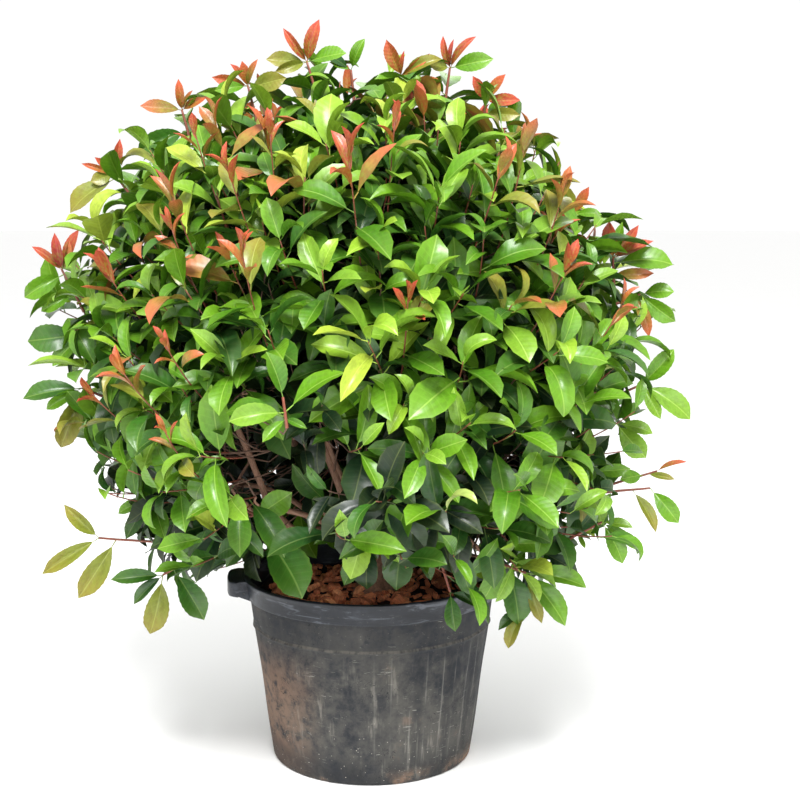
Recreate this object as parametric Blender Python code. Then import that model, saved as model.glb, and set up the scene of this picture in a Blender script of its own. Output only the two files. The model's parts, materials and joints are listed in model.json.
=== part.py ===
"""Photinia 'Red Robin' shrub in a nursery pot, in metres, +Z up.

The origin is the middle of the pot's flat underside, and the shrub is seen from -Y.
A many-stemmed shrub: one short root crown, a limb to every mass of leaves, and masses
that share out the room between the crown's outline and the open heart around the limbs.
"""

import math

import bmesh
import bpy
import numpy as np
from mathutils import Matrix, Vector, noise
from mathutils.bvhtree import BVHTree

GAP = 0.0003  # between faces that touch on the real plant

# Pot: a 30-litre container, 418 mm over the rim
POT_HEIGHT = 0.303
RIM_RADIUS = 0.209
RIM_DEPTH = 0.033
RIM_STEP = 0.005
RIM_LIP = 0.010  # width of the rim's flat top
EDGE = 0.003  # small roundings and the ridge's half height
BASE_RADIUS = 0.164
BASE_ROUNDING = 0.005
RIDGE_HEIGHT = 0.223
RIDGE_PROUD = 0.0022
WALL = 0.0035
POT_SEGMENTS = 36
LUG_REACH = 0.027
LUG_WIDTH = 0.090
LUG_DEPTH = 0.024
LUG_LIP = 0.004
LUG_SLACK = 0.0003  # for the corners of the rim, which stand out past a lug's own sides
LUG_TURN = math.radians(6)
LUG_STEPS = 6

SOIL_DROP = 0.034  # from the rim down to the soil
SOIL_EDGE = 0.012  # where the soil's surface rounds down to the wall
SOIL_SLACK = 0.002  # between the compost and the pot's wall

# Crown: radii about CROWN_CENTRE, flatter above than below
CROWN_CENTRE = Vector((-0.020, 0.0, 0.680))
CROWN_RADIUS = 0.492
CROWN_RISE = 0.462
CROWN_FALL = 0.445
ROUNDNESS_ABOVE = 2.0
ROUNDNESS_BELOW = 3.0
LUMP_HEIGHT = 0.060  # as a share of the radius
LUMP_SIZE = 0.110
SKIRT_SIDE = 0.190  # lowest leaves beside the pot, above the ground
SKIRT_FRONT = 0.362
SKIRT_BACK = 0.270
POT_ROOM = 0.043  # from the rim out to the leaves beside it, for the lugs
OVER_POT = 0.036  # from the rim up to the leaves over the pot

# Open heart of the crown, where only the limbs are
HEART_CENTRE = Vector((0.0, 0.0, 0.520))
HEART_RADIUS = 0.165
HEART_HALF_HEIGHT = 0.250

# Shoots that reach past the outline: direction seen from the front in degrees (0 is +X and
# 90 is up), turn towards the back in degrees, reach as a share of the radius, and spread
SHOOTS = (
    ("top", 98, 0, 0.130, 11),
    ("left shoulder", 171, 0, 0.120, 11),
    ("right", -11, 0, 0.100, 11),
    ("right twig", -20, 0, 0.090, 9),
    ("low left spray", -145, -8, 0.230, 12),
    ("left drip", -125, -10, 0.100, 12),
    ("right drip", -58, -10, 0.095, 12),
    ("back top", 62, 70, 0.060, 10),
    ("back left", 150, 55, 0.060, 10),
    ("back low", -150, 60, 0.070, 10),
    ("back right", 10, 55, 0.060, 10),
)

# Masses of leaves: ring name, count, height of the seeds, their distance from the crown's
# axis, and the turn of the first one in degrees from the front (-Y) towards -X
RINGS = (
    ("top", 1, 1.010, 0.030, 90),
    ("upper", 5, 0.900, 0.250, 50),
    ("middle", 6, 0.660, 0.355, 22),
    ("lower", 7, 0.405, 0.350, 48),
)
SEED_SHIFT = 0.030  # how far a ring's seeds lie above and below its height
MASS_GAP = 0.007
MASS_SMOOTHING = 0.65  # how far a corner is drawn in to the mean of its neighbours
CORNER_PROUD = 0.012
WINDOW_TURN = 22  # where stems show through, low on the front left
WINDOW_SPREAD = 13
WINDOW_DEPTH = 0.110
MASS_DETAIL = 3
MARCH_STEP = 0.003
MARCH_REACH = 0.480

# Root crown and limbs
STOOL_RADIUS = 0.020
STOOL_HEIGHT = 0.062
STOOL_LEAN = Vector((0.006, -0.004, 0.0))
STOOL_SIDES = 12
STOOL_PROFILE = (  # share of the height, share of the radius
    (0.00, 1.70),
    (0.12, 1.43),
    (0.30, 1.12),
    (0.55, 1.00),
    (0.78, 1.12),
    (0.93, 0.86),
    (1.00, 0.40),
)
STOOL_DOME = 1.03
ROOT_LOBES = 5
ROOT_SWELL = 0.16
ROOT_RISE = 0.40  # share of the height that the root swellings take
FORK_SHARE = 0.72
MAIN_RADIUS = 0.0080
SIDE_RADIUS = 0.0056
LIMB_TAPER = 0.62  # share of its radius that a limb keeps at its tip
LIMB_SWAY = 0.022  # sideways bends, as a share of the length
SIDE_STARTS = {"upper": 0.42, "lower": 0.15}  # share of the main limb's length
LIMB_SINK = 0.070  # how far a limb's route runs on past the heart
LIMB_GAP = 0.0003
LIMB_SLACK = 0.0002  # for the corners of a limb, which are a little off its round
LIMB_POINTS = 7
FINE_STEPS = 640
UPRIGHT_WITHIN = 0.120  # a limb with less than this to go sideways leaves more upright
END_STEPS = 10  # a short first and last stretch squares a limb's ends to its route
RIM_SAMPLES = 12
DOOR_DETAIL = 4
RAY = Vector((0.123, 0.071, 0.981)).normalized()  # askew, to miss edges and corners

BARK = (0.235, 0.150, 0.115)
LEAF_TONES = {
    "top": (0.45, 0.20, 0.10),
    "upper": (0.22, 0.30, 0.06),
    "middle": (0.13, 0.27, 0.05),
    "lower": (0.09, 0.22, 0.06),
}


def clear_scene():
    for item in list(bpy.data.objects):
        bpy.data.objects.remove(item, do_unlink=True)


def plain_material(name, colour, roughness):
    material = bpy.data.materials.new(name)
    material.use_nodes = True
    shader = material.node_tree.nodes["Principled BSDF"]
    shader.inputs["Base Color"].default_value = (*colour, 1.0)
    shader.inputs["Roughness"].default_value = roughness
    shader.inputs["Metallic"].default_value = 0.0
    return material


def finish_mesh(name, shape, material, sharp=50):
    """Turns a bmesh into a named object that is shaded smooth but for its sharp edges."""
    bmesh.ops.recalc_face_normals(shape, faces=shape.faces)
    mesh = bpy.data.meshes.new(name)
    shape.to_mesh(mesh)
    shape.free()
    mesh.materials.append(material)
    mesh.shade_smooth()
    mesh.set_sharp_from_angle(angle=math.radians(sharp))
    thing = bpy.data.objects.new(name, mesh)
    bpy.context.collection.objects.link(thing)
    return thing


def turned(profile, segments):
    """A closed shape spun about Z from (radius, height) points that start and end on the axis."""
    shape = bmesh.new()
    points = [shape.verts.new((radius, 0.0, height)) for radius, height in profile]
    edges = [shape.edges.new(pair) for pair in zip(points, points[1:])]
    bmesh.ops.spin(
        shape,
        geom=points + edges,
        cent=(0, 0, 0),
        axis=(0, 0, 1),
        angle=math.tau,
        steps=segments,
        use_merge=True,
    )
    bmesh.ops.remove_doubles(shape, verts=shape.verts, dist=0.00001)
    return shape


def wall_radius(height):
    """The pot's outer radius below the rim band."""
    slope = (RIM_RADIUS - 2 * RIM_STEP - BASE_RADIUS) / (POT_HEIGHT - RIM_DEPTH)
    return BASE_RADIUS + slope * height


def pot_profile():
    """Outer side from the middle of the underside to the rim, then the inner side back down."""
    band = POT_HEIGHT - RIM_DEPTH
    corner = [
        (
            BASE_RADIUS - BASE_ROUNDING * (1 - math.sin(turn)),
            BASE_ROUNDING * (1 - math.cos(turn)),
        )
        for turn in (0.0, math.pi / 6, math.pi / 3, math.pi / 2)
    ]
    outer = [
        (wall_radius(RIDGE_HEIGHT - EDGE), RIDGE_HEIGHT - EDGE),
        (wall_radius(RIDGE_HEIGHT) + RIDGE_PROUD, RIDGE_HEIGHT),
        (wall_radius(RIDGE_HEIGHT + EDGE), RIDGE_HEIGHT + EDGE),
        (wall_radius(band), band),
        (RIM_RADIUS - RIM_STEP, band + 0.5 * EDGE),
        (RIM_RADIUS, POT_HEIGHT - EDGE),
        (RIM_RADIUS - 0.5 * EDGE, POT_HEIGHT),
    ]
    inner = [
        (RIM_RADIUS - RIM_LIP, POT_HEIGHT),
        (RIM_RADIUS - RIM_LIP - 0.5 * EDGE, POT_HEIGHT - EDGE),
        (wall_radius(band) - WALL, band - EDGE),
        (BASE_RADIUS - WALL, BASE_ROUNDING),
        (BASE_RADIUS - BASE_ROUNDING, WALL),
    ]
    return [(0.0, 0.0)] + corner + outer + inner + [(0.0, WALL)]


def lug_shape(side):
    """A grip tab beside the rim, with a lip turned down at its outer edge."""
    start = RIM_RADIUS + GAP + LUG_SLACK
    end = RIM_RADIUS + LUG_REACH
    top = POT_HEIGHT - 0.5 * EDGE
    section = [
        (start, top - LUG_LIP),
        (start, top),
        (end - EDGE, top),
        (end, top - EDGE),
        (end, top - LUG_DEPTH),
        (end - LUG_LIP, top - LUG_DEPTH),
        (end - LUG_LIP, top - LUG_LIP),
    ]
    half_turn = 0.5 * LUG_WIDTH / RIM_RADIUS
    shape = bmesh.new()
    loop = [shape.verts.new((radius, 0.0, height)) for radius, height in section]
    face = shape.faces.new(loop)
    bmesh.ops.rotate(
        shape, verts=loop, matrix=Matrix.Rotation(-half_turn, 3, "Z"), cent=(0, 0, 0)
    )
    bmesh.ops.spin(
        shape,
        geom=[face],
        cent=(0, 0, 0),
        axis=(0, 0, 1),
        angle=2 * half_turn,
        steps=LUG_STEPS,
    )
    turn = LUG_TURN + (math.pi if side < 0 else 0.0)
    bmesh.ops.rotate(
        shape, verts=shape.verts, matrix=Matrix.Rotation(turn, 3, "Z"), cent=(0, 0, 0)
    )
    return shape


def make_pot():
    """The round pot and its two grip lugs, which are solids of their own beside the rim."""
    plastic = plain_material("black_plastic", (0.060, 0.060, 0.062), 0.6)
    finish_mesh("pot", turned(pot_profile(), POT_SEGMENTS), plastic, 35)
    for name, side in (("pot_lug_left", -1), ("pot_lug_right", 1)):
        finish_mesh(name, lug_shape(side), plastic)


def soil_top():
    """Height of the soil's surface."""
    return POT_HEIGHT - SOIL_DROP


def make_soil():
    """The root ball's compost, which fills the pot to just under its rim."""
    band = POT_HEIGHT - RIM_DEPTH
    top = soil_top()
    slope = (wall_radius(band) - BASE_RADIUS) / (band - BASE_ROUNDING)
    side = BASE_RADIUS - WALL + slope * (top - SOIL_EDGE - BASE_ROUNDING) - SOIL_SLACK
    profile = [
        (0.0, WALL + GAP),
        (BASE_RADIUS - BASE_ROUNDING - SOIL_SLACK, WALL + GAP),
        (BASE_RADIUS - WALL - SOIL_SLACK, BASE_ROUNDING + SOIL_SLACK),
        (side, top - SOIL_EDGE),
        (side - SOIL_EDGE, top - EDGE),
        (0.6 * side, top),
        (0.0, top),
    ]
    compost = plain_material("compost", (0.10, 0.055, 0.035), 0.95)
    return finish_mesh("soil", turned(profile, POT_SEGMENTS), compost)


def make_trunk():
    """The root crown: a short tapering stem with root swellings, up to where it forks."""
    foot = soil_top() + GAP
    profile = [(0.0, foot)]
    profile += [(STOOL_RADIUS * out, foot + STOOL_HEIGHT * up) for up, out in STOOL_PROFILE]
    profile += [(0.0, foot + STOOL_DOME * STOOL_HEIGHT)]
    shape = turned(profile, STOOL_SIDES)
    for vertex in shape.verts:
        share = (vertex.co.z - foot) / STOOL_HEIGHT
        around = math.atan2(vertex.co.y, vertex.co.x)
        swell = 1 + ROOT_SWELL * math.cos(ROOT_LOBES * around) * max(0.0, 1 - share / ROOT_RISE)
        vertex.co.x *= swell
        vertex.co.y *= swell
        vertex.co += STOOL_LEAN * share
    bark = plain_material("root_bark", BARK, 0.85)
    return finish_mesh("trunk", shape, bark)


def facing(turn, distance, height):
    """A point by its turn in degrees from the front (-Y) towards -X."""
    angle = math.radians(turn)
    return Vector(
        (
            CROWN_CENTRE.x - distance * math.sin(angle),
            CROWN_CENTRE.y - distance * math.cos(angle),
            height,
        )
    )


def mass_seeds():
    """Name, ring and seed point of every mass, in order from the top down."""
    seeds = []
    for ring, count, height, distance, first in RINGS:
        for number in range(count):
            turn = first + 360.0 * number / count
            uneven = SEED_SHIFT * math.sin(2.4 * number + 9 * height)
            name = f"foliage_{ring}" if count == 1 else f"foliage_{ring}_{number + 1}"
            seeds.append((name, ring, facing(turn, distance, height + uneven)))
    return seeds


def shoot_directions():
    """Unit direction, extra reach and spread in radians of each shoot."""
    found = []
    for _, seen, back, reach, spread in SHOOTS:
        rise, turn = math.radians(seen), math.radians(back)
        across = math.cos(rise)
        direction = (across * math.cos(turn), abs(across) * math.sin(turn), math.sin(rise))
        found.append((np.array(direction), reach, math.radians(spread)))
    return found


def outline_radius(directions):
    """The crown's radius along unit directions from its centre."""
    across = np.hypot(directions[..., 0], directions[..., 1])
    rise = directions[..., 2]
    above = rise > 0
    power = np.where(above, ROUNDNESS_ABOVE, ROUNDNESS_BELOW)
    height = np.where(above, CROWN_RISE, CROWN_FALL)
    sums = (across / CROWN_RADIUS) ** power + (np.abs(rise) / height) ** power
    radius = sums ** (-1 / power)
    reach = np.zeros_like(radius)
    for direction, extra, spread in shoot_directions():
        apart = np.arccos(np.clip(directions @ direction, -1, 1))
        reach += extra * np.exp(-((apart / spread) ** 2))
    return radius * (1 + reach)


def inside_crown(points):
    """Which points lie in the crown's outline, above its skirt, off the pot and out of its heart."""
    away = points - np.array(CROWN_CENTRE)
    distance = np.linalg.norm(away, axis=-1)
    across = np.hypot(points[..., 0], points[..., 1])
    front = np.clip(-points[..., 1] / np.maximum(across, 1e-6), 0, 1)
    back = np.clip(points[..., 1] / np.maximum(across, 1e-6), 0, 1)
    skirt = SKIRT_SIDE + (SKIRT_FRONT - SKIRT_SIDE) * front**2
    skirt = skirt + (SKIRT_BACK - SKIRT_SIDE) * back**2
    over_pot = across < RIM_RADIUS + POT_ROOM
    floor = np.where(over_pot, np.maximum(skirt, POT_HEIGHT + OVER_POT), skirt)
    heart = points - np.array(HEART_CENTRE)
    out = np.hypot(heart[..., 0], heart[..., 1]) / HEART_RADIUS
    in_heart = np.hypot(out, heart[..., 2] / HEART_HALF_HEIGHT) < 1
    directions = away / np.maximum(distance, 1e-6)[..., None]
    return (distance < outline_radius(directions)) & (points[..., 2] > floor) & ~in_heart


def in_window(points):
    """Points in the gap low on the front left, through which the stems are seen."""
    turn = np.degrees(np.arctan2(-points[..., 0], -points[..., 1]))
    near = np.abs(turn - WINDOW_TURN) < WINDOW_SPREAD
    return near & (points[..., 2] < SKIRT_FRONT + WINDOW_DEPTH)


def mass_reach(index, seeds, rays):
    """How far a mass reaches from its seed along each ray: a share of the crown's room."""
    own = np.array(seeds[index])
    steps = np.arange(MARCH_STEP, MARCH_REACH, MARCH_STEP)
    points = own + rays[:, None, :] * steps[None, :, None]
    allowed = inside_crown(points) & ~in_window(points)
    for other_index, other in enumerate(seeds):
        if other_index == index:
            continue
        towards = np.array(other) - own
        middle = own + towards / 2
        unit = towards / np.linalg.norm(towards)
        allowed &= (points - middle) @ unit < -MASS_GAP / 2
    blocked = ~allowed
    first = np.where(blocked.any(axis=1), blocked.argmax(axis=1), len(steps))
    return np.maximum(steps[np.maximum(first - 1, 0)], MARCH_STEP)


def lump(point):
    """A share between 0 and 1 that varies over a few centimetres."""
    coarse = noise.noise(Vector(point) / LUMP_SIZE)
    fine = noise.noise(Vector(point) / (0.5 * LUMP_SIZE) + Vector((7, 3, 5)))
    return min(1.0, max(0.0, 0.5 + 0.7 * coarse + 0.35 * fine))


def make_mass(index, named_seeds):
    """One uneven closed mass of leaves, drawn in from its share of the room by lumps."""
    name, ring, seed = named_seeds[index]
    shape = bmesh.new()
    bmesh.ops.create_icosphere(shape, subdivisions=MASS_DETAIL, radius=1.0)
    shape.verts.ensure_lookup_table()
    rays = np.array([vertex.co.normalized() for vertex in shape.verts])
    reach = mass_reach(index, [entry[2] for entry in named_seeds], rays)
    linked = [
        [edge.other_vert(vertex).index for edge in vertex.link_edges] for vertex in shape.verts
    ]
    around = np.array([reach[others].mean() for others in linked])
    drawn = (1 - MASS_SMOOTHING) * reach + MASS_SMOOTHING * (around + CORNER_PROUD)
    reach = np.minimum(reach, drawn)
    for vertex, ray, distance in zip(shape.verts, rays, reach):
        tip = np.array(seed) + ray * distance
        drawn_in = LUMP_HEIGHT * (1 - lump(tip))
        vertex.co = seed + Vector(ray) * distance * (1 - drawn_in)
    leaf = plain_material(f"{name}_leaves", LEAF_TONES[ring], 0.6)
    return finish_mesh(name, shape, leaf, 80)


def tree_of(thing):
    """A search tree over an object's faces as the viewport shows them."""
    bpy.context.view_layer.update()
    evaluated = thing.evaluated_get(bpy.context.evaluated_depsgraph_get())
    shape = bmesh.new()
    shape.from_mesh(evaluated.to_mesh())
    tree = BVHTree.FromBMesh(shape)
    shape.free()
    evaluated.to_mesh_clear()
    return tree


def hermite(start, leave, end, arrive, share):
    """A point on the curve between two ends with the given directions there."""
    a = 2 * share**3 - 3 * share**2 + 1
    b = share**3 - 2 * share**2 + share
    c = 3 * share**2 - 2 * share**3
    d = share**3 - share**2
    return a * start + b * leave + c * end + d * arrive


def limb_route(start, leave, end, arrive):
    """Fine points of a limb's middle line, with the small bends of a grown stem."""
    length = (end - start).length
    side = (end - start).cross(Vector((0, 0, 1))).normalized()
    points = []
    for step in range(FINE_STEPS + 1):
        share = step / FINE_STEPS
        point = hermite(start, leave, end, arrive, share)
        phase = 1.3 * share + 7 * end.x + 5 * end.y
        sway = LIMB_SWAY * length * math.sin(math.tau * phase)
        points.append(point + side * sway * math.sin(math.pi * share))
    return points


def rim_of(points, step, radius):
    """Points over a limb's cross-section: its middle, a ring half way out and its rim."""
    ahead = points[min(step + 1, FINE_STEPS)] - points[max(step - 1, 0)]
    across = ahead.cross(Vector((0.31, 0.22, 0.93))).normalized()
    over = ahead.cross(across).normalized()
    section = [points[step]]
    for out in (0.5 * radius, radius + LIMB_SLACK):
        for side in range(RIM_SAMPLES):
            turn = math.tau * side / RIM_SAMPLES
            section.append(points[step] + out * (across * math.cos(turn) + over * math.sin(turn)))
    return section


def inside(tree, point):
    """Whether a line from the point meets the tree's faces an odd number of times."""
    crossings = 0
    while point is not None:
        point = tree.ray_cast(point, RAY)[0]
        if point is not None:
            point = point + RAY * 0.00001
            crossings += 1
    return crossings % 2 == 1


def touches(ring, obstacles):
    """Whether any point of a cross-section lies within the touching gap of an obstacle."""
    return any(
        tree.find_nearest(point, LIMB_GAP)[0] is not None for point in ring for tree in obstacles
    )


def buried(ring, obstacles):
    """Whether any point of a cross-section lies inside an obstacle."""
    return any(inside(tree, point) for point in ring for tree in obstacles)


def limb_radius(share, thick):
    """A limb's radius at a share of its length."""
    return thick * (1 - (1 - LIMB_TAPER) * share)


def clear_run(points, thick, carriers, masses):
    """The stretch of a limb between what carries it and the first mass that it meets."""
    rings = [
        rim_of(points, step, limb_radius(step / FINE_STEPS, thick))
        for step in range(FINE_STEPS + 1)
    ]
    first = FINE_STEPS // 2
    while not touches(rings[first - 1], carriers) and not buried(rings[first - 1], carriers):
        first -= 1
    last = first
    while last < FINE_STEPS and not touches(rings[last + 1], masses):
        last += 1
    if last == FINE_STEPS:
        raise ValueError("a limb ends before it meets a mass of leaves")
    return first, last


def make_limb(name, points, thick, run, bark):
    """A limb as a bevelled curve with filled ends, thinner towards its tip."""
    curve = bpy.data.curves.new(name, "CURVE")
    curve.dimensions = "3D"
    curve.bevel_depth = 1.0
    curve.bevel_resolution = 2
    curve.use_fill_caps = True
    curve.materials.append(bark)
    spline = curve.splines.new("POLY")
    spline.points.add(LIMB_POINTS - 1)
    first, last = run
    spaces = LIMB_POINTS - 3
    inner = [first + (last - first) * number / spaces for number in range(1, spaces)]
    steps = [first, first + END_STEPS, *inner, last - END_STEPS, last]
    for step, point in zip(map(round, steps), spline.points):
        point.co = (*points[step], 1.0)
        point.radius = limb_radius(step / FINE_STEPS, thick)
    spline.use_smooth = True
    thing = bpy.data.objects.new(name, curve)
    bpy.context.collection.objects.link(thing)
    return thing


def heart_points():
    """Points all over the surface of the open heart."""
    shape = bmesh.new()
    bmesh.ops.create_icosphere(shape, subdivisions=DOOR_DETAIL, radius=1.0)
    stretch = Vector((HEART_RADIUS, HEART_RADIUS, HEART_HALF_HEIGHT))
    points = [HEART_CENTRE + vertex.co * stretch for vertex in shape.verts]
    shape.free()
    return points


def doors(seeds):
    """Where the limb of each mass leaves the heart: the place deepest in the mass's own share."""
    points = np.array(heart_points())
    away = np.array([np.linalg.norm(points - np.array(seed), axis=1) for _, _, seed in seeds])
    found = {}
    for index, (name, _, _) in enumerate(seeds):
        others = np.delete(away, index, axis=0).min(axis=0)
        found[name] = Vector(points[(others - away[index]).argmax()])
    return found


def flat(vector):
    """A vector without its rise."""
    return Vector((vector.x, vector.y, 0.0))


def limb_end(seed, door):
    """A point just inside a mass, behind the place where a limb enters it."""
    return door + (seed - door).normalized() * LIMB_SINK


def make_mains(seeds, entries, stool, masses):
    """A main limb from the root crown to each middle mass and to the top."""
    bark = plain_material("main_bark", BARK, 0.85)
    fork = Vector((0, 0, soil_top() + FORK_SHARE * STOOL_HEIGHT)) + STOOL_LEAN
    trees, mains = [stool], []
    for name, ring, seed in seeds:
        if ring in SIDE_STARTS:
            continue
        end = limb_end(seed, entries[name])
        outward = flat(end - fork)
        reach = (end - fork).length
        spread = min(1.0, outward.length / UPRIGHT_WITHIN)
        leave = (outward.normalized() * 1.1 * spread + Vector((0, 0, 0.85))) * reach
        arrive = ((seed - end).normalized() * 0.9 + Vector((0, 0, 0.12))) * reach
        route = limb_route(fork, leave, end, arrive)
        run = clear_run(route, MAIN_RADIUS, trees, masses)
        limb = make_limb(name.replace("foliage", "bough"), route, MAIN_RADIUS, run, bark)
        trees.append(tree_of(limb))
        if ring == "middle":
            mains.append((route, flat(end).normalized()))
    return mains, trees


def make_sides(seeds, entries, mains, trees, masses):
    """A side limb to each upper and lower mass, from the main limb that points nearest to it."""
    bark = plain_material("side_bark", BARK, 0.85)
    for name, ring, seed in seeds:
        if ring not in SIDE_STARTS:
            continue
        end = limb_end(seed, entries[name])
        facing_end = flat(end).normalized()
        carrier = min(mains, key=lambda main: main[1].angle(facing_end))[0]
        step = round(SIDE_STARTS[ring] * FINE_STEPS)
        start = carrier[step]
        along = (carrier[step + END_STEPS] - start).normalized()
        reach = (end - start).length
        leave = (along * 0.4 + (end - start).normalized() * 0.8) * reach
        arrive = (seed - end).normalized() * 0.8 * reach
        route = limb_route(start, leave, end, arrive)
        run = clear_run(route, SIDE_RADIUS, trees, masses)
        limb = make_limb(name.replace("foliage", "bough"), route, SIDE_RADIUS, run, bark)
        trees.append(tree_of(limb))


def main():
    clear_scene()
    make_pot()
    make_soil()
    trunk = make_trunk()
    seeds = mass_seeds()
    masses = [make_mass(index, seeds) for index in range(len(seeds))]
    mass_trees = [tree_of(mass) for mass in masses]
    entries = doors(seeds)
    mains, trees = make_mains(seeds, entries, tree_of(trunk), mass_trees)
    make_sides(seeds, entries, mains, trees, mass_trees)


main()
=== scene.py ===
"""Looks of a photinia shrub in its pot: plastic, mulch, bark, twigs and leaves.

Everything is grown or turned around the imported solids, in metres, +Z up, seen from -Y.
"""

import json
import math
from collections import namedtuple

import bmesh
import bpy
import numpy as np
from bpy.props import FloatProperty, FloatVectorProperty, IntProperty, PointerProperty
from mathutils import Matrix, Vector, noise
from mathutils.bvhtree import BVHTree

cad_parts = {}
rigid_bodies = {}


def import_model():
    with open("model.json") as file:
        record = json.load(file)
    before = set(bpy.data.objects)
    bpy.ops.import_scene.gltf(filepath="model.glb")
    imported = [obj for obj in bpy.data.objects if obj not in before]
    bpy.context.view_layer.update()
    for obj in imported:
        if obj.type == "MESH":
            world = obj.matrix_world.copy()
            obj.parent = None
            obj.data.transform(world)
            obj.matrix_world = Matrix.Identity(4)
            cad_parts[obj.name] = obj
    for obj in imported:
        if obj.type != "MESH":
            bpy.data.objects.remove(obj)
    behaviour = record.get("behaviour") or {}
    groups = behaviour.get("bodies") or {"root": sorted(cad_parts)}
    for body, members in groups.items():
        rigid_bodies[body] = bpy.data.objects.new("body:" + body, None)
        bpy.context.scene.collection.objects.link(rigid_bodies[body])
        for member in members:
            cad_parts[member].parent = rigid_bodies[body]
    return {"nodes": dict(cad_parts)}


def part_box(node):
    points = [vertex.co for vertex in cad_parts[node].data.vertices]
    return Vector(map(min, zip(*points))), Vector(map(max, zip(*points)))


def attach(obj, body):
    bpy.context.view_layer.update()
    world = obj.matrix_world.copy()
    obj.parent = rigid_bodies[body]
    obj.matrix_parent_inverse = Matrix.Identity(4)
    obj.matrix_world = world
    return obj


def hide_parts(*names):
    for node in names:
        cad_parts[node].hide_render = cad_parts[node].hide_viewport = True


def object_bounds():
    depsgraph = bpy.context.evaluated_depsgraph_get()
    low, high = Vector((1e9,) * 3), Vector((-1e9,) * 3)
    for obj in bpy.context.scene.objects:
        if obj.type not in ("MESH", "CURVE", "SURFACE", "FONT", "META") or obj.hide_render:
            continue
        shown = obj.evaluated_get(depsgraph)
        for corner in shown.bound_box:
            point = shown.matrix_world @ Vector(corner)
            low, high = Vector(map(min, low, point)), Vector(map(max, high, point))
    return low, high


bl_info = {
    "name": "Photinia Shrub Looks",
    "version": (1, 0, 0),
    "blender": (4, 5, 0),
    "location": "3D View > Sidebar > Photinia",
    "description": "Builds the pot, mulch, bark, twigs and leaves of a potted photinia",
    "category": "Object",
}

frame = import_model()
CAD_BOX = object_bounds()

UP = Vector((0.0, 0.0, 1.0))
GOLDEN_TURN = math.radians(137.5)

# Camera: a photograph of 800 by 800 pixels, in which named places are given
PHOTO_SIZE = 800
CAMERA_PLACE = Vector((0.047, -2.300, 0.910))
CAMERA_PITCH = math.radians(8.0)
LENS = 64.53
SENSOR = 36.0
FOCAL = PHOTO_SIZE * LENS / SENSOR

# Pot, from its solid
POT_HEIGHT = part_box("pot")[1].z
RIM_RADIUS = 0.209
RIM_DEPTH = 0.033
RIM_STEP = 0.005
RIM_LIP = 0.010
RIM_ROUND = 0.0022
BASE_RADIUS = 0.164
BASE_ROUNDING = 0.005
RIDGE_HEIGHT = 0.223
RIDGE_PROUD = 0.0022
WALL = 0.0035
POT_SIDES = 240
BAND_FOOT = POT_HEIGHT - RIM_DEPTH
LUG_INNER = RIM_RADIUS - 0.004
LUG_OUTER = RIM_RADIUS + 0.027
LUG_TOP = POT_HEIGHT - 0.0015
LUG_DEPTH = 0.024
LUG_THICK = 0.0035
LUG_BEND = 0.003
LUG_EDGE = 0.001
LUG_CORNER = 0.010
LUG_CORNER_FROM = 0.72
LUG_HALF_TURN = 0.5 * 0.090 / RIM_RADIUS
LUG_TURN = math.radians(6)
LUG_STEPS = 18
LUG_WEB_AT = 0.86
FLUTE_PHASE = 0.9

# Mulch on the compost, whose top comes from its solid
SOIL_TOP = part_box("soil")[1].z
SOIL_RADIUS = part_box("soil")[1].x
CHIP_COUNT = 430
CHIP_TONES = (0.62, 0.85, 1.12, 1.45)
CHIP_SHARES = (0.25, 0.32, 0.28, 0.15)
CHIP_LAYER = 0.011

# Crown and limbs, as the solids have them
CROWN_CENTRE = Vector((-0.020, 0.0, 0.680))
HEART_CENTRE = Vector((0.0, 0.0, 0.520))
HEART_RADIUS = 0.165
HEART_HALF_HEIGHT = 0.250
FAN_CENTRE = Vector((0.0, 0.0, 0.500))
HALF_WAY_UP = 0.65
HALF_TALL = 0.50
RINGS = (  # name, count, height and distance of the seeds, turn of the first one
    ("top", 1, 1.010, 0.030, 90),
    ("upper", 5, 0.900, 0.250, 50),
    ("middle", 6, 0.660, 0.355, 22),
    ("lower", 7, 0.405, 0.350, 48),
)
SEED_SHIFT = 0.030
STOOL_RADIUS = 0.020
STOOL_HEIGHT = 0.062
STOOL_LEAN = Vector((0.006, -0.004, 0.0))
STOOL_PROFILE = (
    (0.00, 1.70),
    (0.12, 1.43),
    (0.30, 1.12),
    (0.55, 1.00),
    (0.78, 1.12),
    (0.93, 0.86),
    (1.00, 0.40),
)
STOOL_DOME = 1.03
ROOT_LOBES = 5
ROOT_SWELL = 0.16
ROOT_RISE = 0.40
FORK_SHARE = 0.72
MAIN_RADIUS = 0.0080
SIDE_RADIUS = 0.0056
LIMB_TAPER = 0.62
LIMB_SWAY = 0.022
SIDE_STARTS = {"upper": 0.42, "lower": 0.15}
LIMB_SINK = 0.070
UPRIGHT_WITHIN = 0.120
LIMB_STEPS = 64
LIMB_SIDES = 14
GRAIN_LENGTH = 0.12
BARK_RELIEF = 0.09
DOOR_DETAIL = 4

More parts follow.
